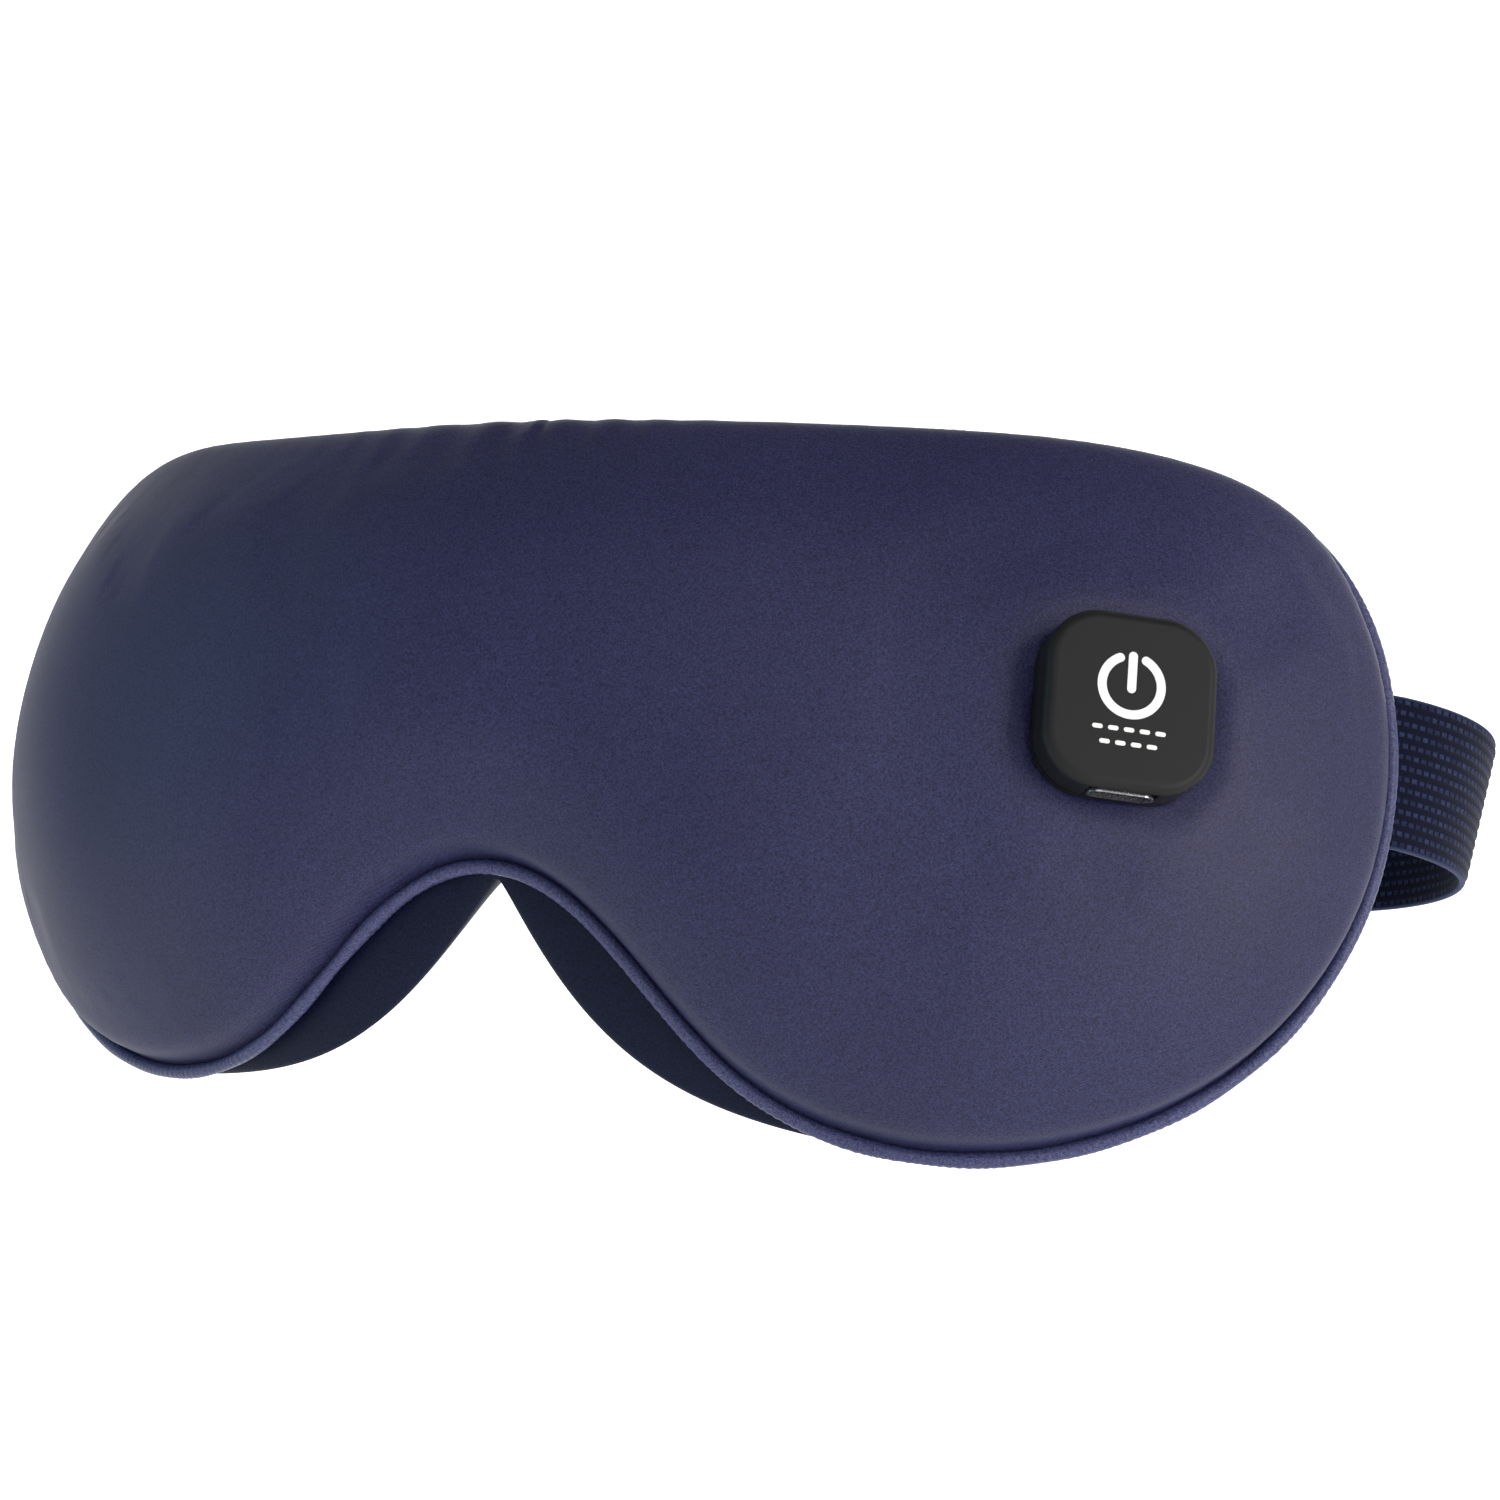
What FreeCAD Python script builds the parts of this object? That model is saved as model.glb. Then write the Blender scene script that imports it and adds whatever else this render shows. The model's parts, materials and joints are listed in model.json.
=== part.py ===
import FreeCAD, Part
import Sketcher
import math
import os

Vector = FreeCAD.Vector

# The mask is worn upright: +X to the wearer's left, -Y away from the face, +Z up. The origin lies on the
# face side at the bridge. Soft layers are laid out on the flat sewing pattern, as stations along its
# width and heights above its middle, and bent round the head. A layer's level is its distance in front
# of the seam surface, along the local normal.

SIZES = (
    # mask outline and bend, all at the seam
    ("half_width", 127.4), ("half_height", 51.0), ("bend_radius", 182.0), ("edge_setback", 7.0),
    ("face_depth", 9.5), ("front_depth", 12.5), ("back_depth", 9.0),
    # cloth and soft layers
    ("cloth_gauge", 0.8), ("layer_gap", 0.3), ("piping_radius", 1.1), ("seam_inset", 1.9),
    ("carrier_gauge", 0.6), ("carrier_inset", 4.0), ("lead_channel", 2.6), ("film_gauge", 0.25),
    ("film_width", 56.0), ("film_height", 30.0), ("film_gap", 1.6),
    ("eye_station", 33.0), ("eye_height", 6.0), ("cup_depth", 5.5), ("cup_width", 21.0), ("cup_height", 15.0),
    ("foam_end", 16.0), ("flap_gauge", 2.0), ("flap_reach", 19.5),
    # control module, in its own frame on the cloth
    ("module_station", 84.4), ("module_height", 9.2), ("module_level", 11.2), ("module_turn", 4.0),
    ("module_tilt", 5.0), ("cap_width", 23.0), ("cap_length", 23.9), ("cap_corner", 7.2), ("cap_rise", 5.4),
    ("cap_wall", 1.2), ("cap_round", 1.4), ("press_travel", 0.4), ("base_wall", 1.1), ("base_depth", 5.0),
    ("flange_gauge", 1.0), ("flange_step", 1.2), ("clamp_margin", 2.4), ("clamp_gauge", 1.0),
    ("board_gauge", 1.0), ("board_gap", 0.5), ("battery_gauge", 2.8), ("screw_radius", 0.6),
    ("switch_side", 4.4), ("switch_rise", 1.5), ("plunger_radius", 1.1), ("plunger_rise", 0.6),
    ("plunger_seat", 0.35),
    ("usb_width", 8.94), ("usb_rise", 3.2), ("usb_depth", 7.3), ("usb_wall", 0.3), ("print_gauge", 0.06),
    ("usb_proud", 0.3), ("ring_radius", 3.95), ("ring_stroke", 1.2), ("ring_gap", 26.0), ("bar_length", 5.6),
    ("dash_length", 1.4), ("dash_stroke", 0.6), ("dash_pitch", 2.1),
    # vibration motors
    ("motor_station", 52.0), ("motor_height", 22.0), ("motor_radius", 5.0), ("motor_rise", 3.4),
    ("motor_wall", 0.3), ("shaft_radius", 0.5), ("run_fit", 0.04), ("lead_radius", 0.5),
    # head strap
    ("strap_width", 22.0), ("strap_gauge", 1.2), ("return_gauge", 1.0), ("strap_height", 10.0),
    ("strap_drop", 4.0), ("strap_lean", 9.0), ("strap_tuck", 9.0), ("strap_level", 3.1), ("strap_leadin", 12.0),
    ("strap_radius", 23.0), ("ring_span", 7.0), ("wire_radius", 1.0), ("slider_place", 45.0),
    ("slider_length", 16.0), ("slider_gauge", 1.6), ("slider_bar", 1.2),
)

# The outline of one half of the mask, from the middle of the top edge round to the nose arch, as shares of
# the half width and the half height.
OUTLINE = ((0.0, 0.98), (0.457, 1.0), (0.929, 0.764), (1.0, 0.094), (0.868, -0.665), (0.522, -1.0),
           (0.299, -0.842), (0.0, -0.346))
# Shares of the half width at which the layers are cut.
STATIONS = (0.0, 0.05, 0.1, 0.16, 0.22, 0.29, 0.37, 0.45, 0.53, 0.61, 0.69, 0.77, 0.84, 0.9, 0.945, 0.97, 0.984)
SPREAD = 10

doc = FreeCAD.newDocument("eye_massager_mask")
sheet = doc.addObject("Spreadsheet::Sheet", "Sizes")
for row, (alias, value) in enumerate(SIZES, start=1):
    sheet.set("A%d" % row, alias)
    sheet.set("B%d" % row, str(value))
    sheet.setAlias("B%d" % row, alias)
doc.recompute()

nodes = []


def size(alias):
    return float(sheet.get(alias))


# ---- the bent sewing pattern ----

def outline_half():
    """The right half of the seam on the flat pattern, level where it meets its mirror image."""
    points = [Vector(x * size("half_width"), 0, z * size("half_height")) for x, z in OUTLINE]
    curve = Part.BSplineCurve()
    curve.interpolate(Points=points, InitialTangent=Vector(1, 0, 0), FinalTangent=Vector(-1, 0, 0))
    return curve


def sampled(curve, count):
    first, last = curve.FirstParameter, curve.LastParameter
    return [curve.value(first + (last - first) * i / count) for i in range(count + 1)]


HALF_SEAM = outline_half()
SEAM_POINTS = sampled(HALF_SEAM, 1000)
SEAM_END = max(point.x for point in SEAM_POINTS)


def crossings(station):
    """Heights of the lower and upper seam at a station."""
    reach = abs(station)
    heights = []
    for here, after in zip(SEAM_POINTS, SEAM_POINTS[1:]):
        if (here.x - reach) * (after.x - reach) <= 0 and here.x != after.x:
            share = (reach - here.x) / (after.x - here.x)
            heights.append(here.z + share * (after.z - here.z))
    return min(heights), max(heights)


def place(station, height, level):
    angle = station / size("bend_radius")
    reach = size("bend_radius") + level - size("edge_setback") * (height / 50.0) ** 2
    across = reach * math.sin(angle)
    back = size("bend_radius") - reach * math.cos(angle) - size("face_depth")
    return Vector(across, back, height)


def normal(station, height):
    """Direction away from the face, square to the bent surface at this spot."""
    angle = station / size("bend_radius")
    rise = 2 * size("edge_setback") * height / 50.0 ** 2
    return Vector(math.sin(angle), -math.cos(angle), rise).normalize()


def fullness(station, height):
    low, high = crossings(station)
    across = abs(2 * height - high - low) / (high - low)
    along = abs(station) / SEAM_END
    return max(0.0, 1 - min(1.0, across) ** 2.6) ** 0.6 * max(0.0, 1 - along ** 5) ** 0.5


def front_level(station, height):
    return 0.5 + size("front_depth") * fullness(station, height)


def eye_cup(station, height):
    across = (abs(station) - size("eye_station")) / size("cup_width")
    up = (height - size("eye_height")) / size("cup_height")
    return size("cup_depth") * math.exp(-(across ** 2 + up ** 2) ** 1.5)


def back_level(station, height):
    return eye_cup(station, height) - 0.5 - size("back_depth") * fullness(station, height)


def section(station, bottom, top, inner, outer):
    turns = [math.sin(math.pi / 2 * i / SPREAD) for i in range(-SPREAD, SPREAD + 1, 2)]
    heights = [(top + bottom) / 2 + (top - bottom) / 2 * turn for turn in turns]
    edges = []
    ends = []
    for level in (inner, outer):
        points = [place(station, height, level(station, height)) for height in heights]
        curve = Part.BSplineCurve()
        curve.interpolate(points)
        edges.append(curve.toShape())
        ends.append((points[0], points[-1]))
    top_edge = Part.makeLine(ends[0][1], ends[1][1])
    bottom_edge = Part.makeLine(ends[1][0], ends[0][0])
    return Part.Wire(Part.__sortEdges__([edges[0], top_edge, edges[1], bottom_edge]))


def layer(stations, inset, inner, outer):
    sections = []
    for station in stations:
        low, high = crossings(station)
        sections.append(section(station, low + inset, high - inset, inner, outer))
    return Part.makeLoft(sections, True, False)


def full_stations(end_margin):
    right = [share * size("half_width") for share in STATIONS]
    right = [station for station in right if station <= size("half_width") - end_margin]
    return [-s for s in reversed(right[1:])] + right


def half_stations(start, stop, side):
    right = [share * size("half_width") for share in STATIONS]
    inside = [start] + [s for s in right if start + 2 < s < stop - 2] + [stop]
    return sorted(side * s for s in inside)


def constant(level):
    return lambda station, height: level


def keep(name, shape):
    piece = doc.addObject("Part::Feature", name)
    piece.Label = name
    piece.Shape = shape
    nodes.append(piece)
    return piece


def named(piece, label, placement=None):
    piece.Label = label
    if placement:
        piece.Placement = placement
    nodes.append(piece)
    return piece


def rod(foot, direction, radius, length):
    return Part.makeCylinder(radius, length, foot, direction)


# ---- module frame ----

def module_frame():
    foot = place(size("module_station"), size("module_height"), size("module_level"))
    heading = math.degrees(size("module_station") / size("bend_radius")) + size("module_turn")
    turned = FreeCAD.Rotation(Vector(0, 0, 1), heading)
    outward = turned.multVec(Vector(0, -1, 0))
    right = turned.multVec(Vector(1, 0, 0))
    tipped = FreeCAD.Rotation(right, -size("module_tilt"))
    outward = tipped.multVec(outward)
    return FreeCAD.Placement(foot, FreeCAD.Rotation(right, outward.cross(right), outward, "ZXY"))


MODULE = module_frame()


def rounded_prism(width, length, corner, low, high):
    box = Part.makeBox(width, length, high - low, Vector(-width / 2, -length / 2, low))
    upright = [edge for edge in box.Edges if abs(edge.tangentAt(0).z) > 0.9]
    prism = box.makeFillet(corner, upright)
    prism.Placement = MODULE
    return prism


def clamp_outline(grow):
    margin = size("clamp_margin") + grow
    return (size("cap_width") + 2 * margin, size("cap_length") + 2 * margin, size("cap_corner") + margin)


# ---- soft goods ----

def front_cover():
    thick = size("cloth_gauge")
    stations = full_stations(size("seam_inset"))
    shell = layer(stations, size("seam_inset"), lambda s, z: front_level(s, z) - thick, front_level)
    width, length, corner = clamp_outline(size("layer_gap"))
    recess = rounded_prism(width, length, corner, -9.0, 9.0)
    sleeve = rounded_prism(width + 2 * thick, length + 2 * thick, corner + thick, -2.8, 0.0)
    pit = rounded_prism(width, length, corner, -2.9, -thick)
    mouth_width = size("cap_width") - 2 * size("flange_step") + 2 * size("layer_gap")
    mouth_length = size("cap_length") - 2 * size("flange_step") + 2 * size("layer_gap")
    mouth = rounded_prism(mouth_width, mouth_length, size("cap_corner") - size("flange_step"), -3.0, 1.0)
    dimple = sleeve.cut(pit).cut(mouth)
    keep("front_cover", shell.cut(recess).fuse(dimple).removeSplitter())


def front_wadding():
    gap = size("cloth_gauge") + 2 * size("layer_gap")
    floor = size("carrier_gauge") + size("lead_channel")
    stations = full_stations(6.0)
    pad = layer(stations, 5.5, constant(floor), lambda s, z: max(front_level(s, z) - gap, floor + 0.5))
    width, length, corner = clamp_outline(size("layer_gap") + size("cloth_gauge") + size("layer_gap"))
    pad = pad.cut(rounded_prism(width, length, corner, -15.0, 9.0))
    for side in (-1, 1):
        station = side * size("motor_station")
        foot = place(station, size("motor_height"), 0)
        room = size("motor_rise") + 1.5
        outward = normal(station, size("motor_height"))
        pad = pad.cut(rod(foot, outward, size("motor_radius") + 0.7, room))
    keep("front_wadding", pad)


def carrier_sheet():
    stations = full_stations(6.0)
    sheet_body = layer(stations, size("carrier_inset"), constant(0.0), constant(size("carrier_gauge")))
    for side in (-1, 1):
        station = side * (size("eye_station") + heater_tail())
        foot = place(station, size("eye_height"), -2.0)
        sheet_body = sheet_body.cut(rod(foot, normal(station, size("eye_height")), 1.2, 4.0))
    keep("carrier_sheet", sheet_body)


def eye_foams():
    gap = size("cloth_gauge") + 2 * size("layer_gap")
    for name, side in (("eye_foam_right", 1), ("eye_foam_left", -1)):
        stations = half_stations(1.5, size("half_width") - size("foam_end"), side)
        foam = layer(stations, 4.0, lambda s, z: min(back_level(s, z) + gap, -size("film_gap") - 0.5),
                     constant(-size("film_gap")))
        keep(name, foam)


def back_cover():
    thick = size("cloth_gauge")
    stations = full_stations(size("seam_inset"))
    shell = layer(stations, size("seam_inset"), back_level, lambda s, z: back_level(s, z) + thick)
    for side in (-1, 1):
        shell = shell.cut(band(strap_start(side), size("strap_gauge") + 0.6, size("strap_width") + 0.6))
    keep("back_cover", shell)


def flap_bottom(station):
    share = 1 - math.exp(-(abs(station) / size("flap_reach")) ** 1.15)
    top = -0.37 * size("half_height")
    return top - (1.01 * size("half_height") + top) * share


def nose_flaps():
    behind = -size("piping_radius") - size("layer_gap")
    for name, side in (("nose_flap_right", 1), ("nose_flap_left", -1)):
        sections = []
        for station in (3.0, 7.0, 12.0, 18.0, 25.0, 33.0, 42.0, 50.0):
            top = crossings(side * station)[0] + 0.8
            sections.append(section(side * station, flap_bottom(station), top,
                                    constant(behind - size("flap_gauge")), constant(behind)))
        keep(name, Part.makeLoft(sections, True, False))


def edge_piping():
    points = [place(point.x, point.z, 0) for point in sampled(HALF_SEAM, 40)]
    curve = Part.BSplineCurve()
    curve.interpolate(Points=points, InitialTangent=Vector(1, 0, 0), FinalTangent=Vector(-1, 0, 0))
    circle = Part.makeCircle(size("piping_radius"), points[0], Vector(1, 0, 0))
    path = Part.Wire([curve.toShape()])
    half = path.makePipeShell([Part.Wire([circle])], True, False)
    keep("edge_piping", half.fuse(half.mirror(Vector(0, 0, 0), Vector(1, 0, 0))))


# ---- heating films, sensor and leads ----

def heater_tail():
    return size("film_width") / 2 - 3.0


def heating_films():
    low = size("eye_height") - size("film_height") / 2
    high = size("eye_height") + size("film_height") / 2
    reach = size("film_width") / 2
    for name, side in (("heating_film_right", 1), ("heating_film_left", -1)):
        middle = side * size("eye_station")
        stations = [middle + reach * share for share in (-1.0, -0.5, 0.0, 0.5, 1.0)]
        sections = [section(s, low, high, constant(-0.35 - size("film_gauge")), constant(-0.35)) for s in stations]
        keep(name, Part.makeLoft(sections, True, False))


def ntc_sensor():
    station = size("eye_station") - 14.0
    foot = place(station, size("eye_height"), -0.35 - size("film_gauge"))
    keep("ntc_sensor", rod(foot, -normal(station, size("eye_height")), 0.9, 0.8))


def tangent_path(points):
    """Straight runs joined by tangent arcs, each as large as its two runs allow."""
    edges = []
    start = points[0]
    for before, corner, after in zip(points, points[1:], points[2:]):
        into = (corner - before).normalize()
        out = (after - corner).normalize()
        setback = 0.45 * min((corner - before).Length, (after - corner).Length)
        first = corner - into * setback
        last = corner + out * setback
        bisector = (out - into).normalize()
        half_turn = into.getAngle(out) / 2
        radius = setback / math.tan(half_turn)
        centre = corner + bisector * (radius / math.cos(half_turn))
        middle = centre - bisector * radius
        edges.append(Part.makeLine(start, first))
        edges.append(Part.Arc(first, middle, last).toShape())
        start = last
    edges.append(Part.makeLine(start, points[-1]))
    return Part.Wire(edges)


def lead(name, route):
    points = [place(*stop) for stop in route]
    path = tangent_path(points)
    circle = Part.makeCircle(size("lead_radius"), points[0], points[1] - points[0])
    keep(name, path.makePipeShell([Part.Wire([circle])], True, False))


def leads():
    run = size("carrier_gauge") + size("lead_channel") / 2 + 0.2
    station, height = size("module_station"), size("module_height")
    motor, lift = size("motor_station"), size("motor_height")
    tail = size("eye_station") + heater_tail()
    eye = size("eye_height")
    beside = size("motor_radius") + 0.25
    lead("motor_lead_right", ((station - 4, height + 4, 6.4), (station - 4, height + 4, run),
                              (station - 12, height + 6.5, run), (station - 21, height + 12.3, run),
                              (motor + beside, lift, run)))
    lead("motor_lead_left", ((station - 4, height + 7, 6.4), (station - 4, height + 7, run),
                             (station - 12, height + 12, run), (motor + 6, lift + 9, run),
                             (motor - 12, lift + 12, run), (16, lift + 13, run), (-8, lift + 14, run),
                             (-motor + 16, lift + 12, run), (-motor + 9, lift + 4, run),
                             (beside - motor, lift, run)))
    lead("heater_lead_right", ((station - 4, height - 4, 6.4), (station - 4, height - 4, run),
                               (station - 12, height - 6, run), (tail + 6, eye - 3, run),
                               (tail, eye, run), (tail, eye, -0.35)))
    lead("heater_lead_left", ((station - 4, height - 7.5, 6.4), (station - 4, height - 7.5, run),
                              (station - 13, height - 11, run), (tail - 4, eye - 11, run),
                              (26, eye - 7, run), (4, eye + 1, run), (-16, eye + 4, run),
                              (-35, eye + 9, run), (-tail + 8, eye + 4, run), (-tail, eye, run),
                              (-tail, eye, -0.35)))


# ---- bodies built from sketches ----

def new_body(name):
    return doc.addObject("PartDesign::Body", name)


def new_sketch(body, level):
    sketch = body.newObject("Sketcher::SketchObject", body.Name + "Sketch")
    plane = [item for item in body.Origin.OriginFeatures if item.Role == "XY_Plane"][0]
    sketch.AttachmentSupport = (plane, "")
    sketch.MapMode = "FlatFace"
    sketch.setExpression("AttachmentOffset.Base.z", level)
    return sketch


def rectangle(sketch, width, length, corner, middle="0"):
    """A round-cornered rectangle, its centre at the given distance along +Y."""
    half, tall, radius = (sketch.evalExpression(text) for text in (width, length, corner))
    half, tall = half / 2, tall / 2
    spots = ((half - radius, -tall + radius), (half - radius, tall - radius),
             (-half + radius, tall - radius), (-half + radius, -tall + radius))
    steps = ((0, -radius), (radius, 0), (0, radius), (-radius, 0))
    for i in range(4):
        before, here, after = spots[i - 1], spots[i], steps[(i + 1) % 4]
        step = steps[i]
        sketch.addGeometry(Part.LineSegment(Vector(before[0] + step[0], before[1] + step[1], 0),
                                            Vector(here[0] + step[0], here[1] + step[1], 0)), False)
        circle = Part.Circle(Vector(here[0], here[1], 0), Vector(0, 0, 1), radius)
        turn = math.atan2(step[1], step[0])
        sketch.addGeometry(Part.ArcOfCircle(circle, turn, turn + math.pi / 2), False)
    for i in range(0, 8, 2):
        sketch.addConstraint(Sketcher.Constraint("Tangent", i, 2, i + 1, 1))
        sketch.addConstraint(Sketcher.Constraint("Tangent", i + 1, 2, (i + 2) % 8, 1))
    for i in (3, 5, 7):
        sketch.addConstraint(Sketcher.Constraint("Equal", 1, i))
    sketch.addConstraint(Sketcher.Constraint("Horizontal", 4))
    sketch.addConstraint(Sketcher.Constraint("Vertical", 2))
    sketch.addConstraint(Sketcher.Constraint("Vertical", 6))
    sketch.addConstraint(Sketcher.Constraint("Symmetric", 0, 1, 0, 2, -2))
    bound = ((sketch.addConstraint(Sketcher.Constraint("DistanceX", 6, 1, 2, 1, 2 * half)), width),
             (sketch.addConstraint(Sketcher.Constraint("DistanceY", 0, 1, 4, 1, 2 * tall)), length),
             (sketch.addConstraint(Sketcher.Constraint("Radius", 1, radius)), corner),
             (sketch.addConstraint(Sketcher.Constraint("DistanceY", 0, 1, -1, 1, tall)),
              "(%s) / 2 - (%s)" % (length, middle)))
    for index, text in bound:
        sketch.setExpression("Constraints[%d]" % index, text)


def disc(sketch, radius, x=0.0, y=0.0):
    index = sketch.addGeometry(Part.Circle(Vector(x, y, 0), Vector(0, 0, 1), 1.0), False)
    sketch.addConstraint(Sketcher.Constraint("DistanceX", -1, 1, index, 3, x))
    sketch.addConstraint(Sketcher.Constraint("DistanceY", -1, 1, index, 3, y))
    bound = sketch.addConstraint(Sketcher.Constraint("Radius", index, 1.0))
    sketch.setExpression("Constraints[%d]" % bound, radius)


def pad(body, sketch, length):
    feature = body.newObject("PartDesign::Pad", body.Name + "Pad")
    feature.Profile = sketch
    feature.setExpression("Length", length)
    doc.recompute()
    return feature


def pocket(body, sketch, depth, upward=False):
    feature = body.newObject("PartDesign::Pocket", body.Name + "Pocket")
    feature.Profile = sketch
    feature.Reversed = upward
    feature.setExpression("Length", depth)
    before = feature.BaseFeature.Shape.Volume
    doc.recompute()
    if feature.Shape.Volume > before - 1e-6:
        raise ValueError("pocket in %s cuts nothing" % body.Name)
    return feature


def fillet(body, feature, radius, wanted):
    picked = ["Edge%d" % (i + 1) for i, edge in enumerate(feature.Shape.Edges) if wanted(edge)]
    rounded = body.newObject("PartDesign::Fillet", body.Name + "Fillet")
    rounded.Base = (feature, picked)
    rounded.setExpression("Radius", radius)
    doc.recompute()
    return rounded


def block(name, width, length, corner, low, rise):
    """A plate with rounded corners, from the level low to low + rise."""
    body = new_body(name)
    sketch = new_sketch(body, low)
    rectangle(sketch, width, length, corner)
    pad(body, sketch, rise)
    return body


def hollow(body, width, length, corner, low, depth):
    """Cuts a rounded space upward from the level low."""
    sketch = new_sketch(body, low)
    rectangle(sketch, width, length, corner)
    pocket(body, sketch, depth, upward=True)


def deck():
    """The board's upper face, above the base's flange."""
    return "Sizes.flange_gauge + Sizes.board_gauge"


def module_base():
    width = "Sizes.cap_width - 2 * Sizes.flange_step"
    length = "Sizes.cap_length - 2 * Sizes.flange_step"
    body = block("module_base", width, length, "Sizes.cap_corner - Sizes.flange_step",
                 "-Sizes.base_depth", "Sizes.base_depth")
    flange = new_sketch(body, "0")
    rectangle(flange, "Sizes.cap_width", "Sizes.cap_length", "Sizes.cap_corner")
    pad(body, flange, "Sizes.flange_gauge")
    hollow(body, width + " - 2 * Sizes.base_wall", length + " - 2 * Sizes.base_wall",
           "Sizes.cap_corner - Sizes.flange_step - Sizes.base_wall",
           "-Sizes.base_depth + Sizes.base_wall", "Sizes.base_depth + 2")
    holes = new_sketch(body, "-Sizes.base_depth - 1")
    for height in (7.0, 4.0, -4.0, -7.5):
        disc(holes, "Sizes.lead_radius + 0.25", -4.0, height)
    pocket(body, holes, "Sizes.base_wall + 1.5", upward=True)
    named(body, "module_base", MODULE)


def button_cap():
    body = block("button_cap", "Sizes.cap_width", "Sizes.cap_length", "Sizes.cap_corner",
                 "Sizes.flange_gauge + Sizes.press_travel + 0.1", "Sizes.cap_rise")
    top = max(face.CenterOfMass.z for face in body.Shape.Faces)
    fillet(body, body.Tip, "Sizes.cap_round", lambda edge: edge.BoundBox.ZMin > top - 0.01)
    hollow(body, "Sizes.cap_width - 2 * Sizes.cap_wall", "Sizes.cap_length - 2 * Sizes.cap_wall",
           "Sizes.cap_corner - Sizes.cap_wall", "Sizes.flange_gauge + Sizes.press_travel + 0.1",
           "Sizes.cap_rise - Sizes.cap_wall")
    slot = new_sketch(body, "Sizes.flange_gauge + Sizes.press_travel")
    rectangle(slot, "Sizes.usb_width + 0.4", "Sizes.cap_wall * 3", "0.2", "-Sizes.cap_length / 2")
    pocket(body, slot, "Sizes.board_gauge + Sizes.usb_rise + 0.1", upward=True)
    post = new_sketch(body, deck() + " + Sizes.switch_rise + Sizes.plunger_rise + 0.05")
    disc(post, "Sizes.plunger_radius")
    pad(body, post, "Sizes.press_travel + Sizes.cap_rise - Sizes.cap_wall - Sizes.board_gauge"
                    " - Sizes.switch_rise - Sizes.plunger_rise + 0.3")
    named(body, "button_cap", MODULE)


def printed_bar(middle, across, up, gauge):
    """A flat mark with round ends on its longer side."""
    radius = min(across, up) / 2
    reach = Vector(across / 2 - radius, up / 2 - radius, 0)
    ends = [Part.makeCylinder(radius, gauge, middle + reach * sign) for sign in (-1, 1)]
    width = 2 * reach.x or across
    length = 2 * reach.y or up
    core = Part.makeBox(width, length, gauge, middle - Vector(width / 2, length / 2, 0))
    return core.multiFuse(ends).removeSplitter()


def print_level():
    return size("flange_gauge") + size("press_travel") + 0.1 + size("cap_rise")


def power_symbol():
    stroke = size("ring_stroke")
    radius = size("ring_radius")
    gauge = size("print_gauge")
    centre = Vector(-0.3, 1.9, print_level())
    ring = Part.makeCylinder(radius + stroke / 2, gauge, centre)
    ring = ring.cut(Part.makeCylinder(radius - stroke / 2, gauge, centre))
    half_gap = math.radians(size("ring_gap"))
    spokes = [Vector(side * math.sin(half_gap), math.cos(half_gap), 0) for side in (-1, 1)]
    corners = [centre, centre + spokes[0] * 2 * radius, centre + spokes[1] * 2 * radius, centre]
    ring = ring.cut(Part.Face(Part.makePolygon(corners)).extrude(Vector(0, 0, gauge)))
    tips = [Part.makeCylinder(stroke / 2, gauge, centre + spoke * radius) for spoke in spokes]
    ring = ring.multiFuse(tips).removeSplitter()
    top = centre + Vector(0, radius + stroke / 2, 0)
    bar = printed_bar(top - Vector(0, size("bar_length") / 2, 0), stroke, size("bar_length"), gauge)
    piece = keep("power_symbol", Part.Compound([ring, bar]))
    piece.Placement = MODULE


def legend_dashes():
    dashes = []
    for row, count in enumerate((5, 4)):
        for i in range(count):
            middle = Vector((i - (count - 1) / 2) * size("dash_pitch") - 0.3, -4.1 - 1.9 * row, print_level())
            dashes.append(printed_bar(middle, size("dash_length"), size("dash_stroke"), size("print_gauge")))
    piece = keep("legend_dashes", Part.Compound(dashes))
    piece.Placement = MODULE


def board_sizes():
    width = "Sizes.cap_width - 2 * (Sizes.cap_wall + Sizes.board_gap)"
    length = "Sizes.cap_length - 2 * (Sizes.cap_wall + Sizes.board_gap)"
    return width, length


def circuit_board():
    width, length = board_sizes()
    body = block("circuit_board", width, length, "Sizes.cap_corner - Sizes.cap_wall - Sizes.board_gap",
                 "Sizes.flange_gauge", "Sizes.board_gauge")
    named(body, "circuit_board", MODULE)


def box_on_module(name, width, length, rise, x, y, low):
    box = doc.addObject("Part::Box", name)
    box.setExpression("Length", width)
    box.setExpression("Width", length)
    box.setExpression("Height", rise)
    doc.recompute()
    corner = Vector(x - box.Length.Value / 2, y - box.Width.Value / 2, low)
    return named(box, name, MODULE.multiply(FreeCAD.Placement(corner, FreeCAD.Rotation())))


def deck_level():
    return size("flange_gauge") + size("board_gauge")


def switch_body(deck_at):
    """A square housing with a well that the plunger slides down."""
    body = block("tact_switch_body", "Sizes.switch_side", "Sizes.switch_side", "0.3", "0", "Sizes.switch_rise")
    well = new_sketch(body, "Sizes.switch_rise - Sizes.plunger_seat - Sizes.press_travel - 0.05")
    disc(well, "Sizes.plunger_radius + Sizes.run_fit")
    pocket(body, well, "Sizes.switch_rise", upward=True)
    lift = FreeCAD.Placement(Vector(0, 0, deck_at), FreeCAD.Rotation())
    named(body, "tact_switch_body", MODULE.multiply(lift))


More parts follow.
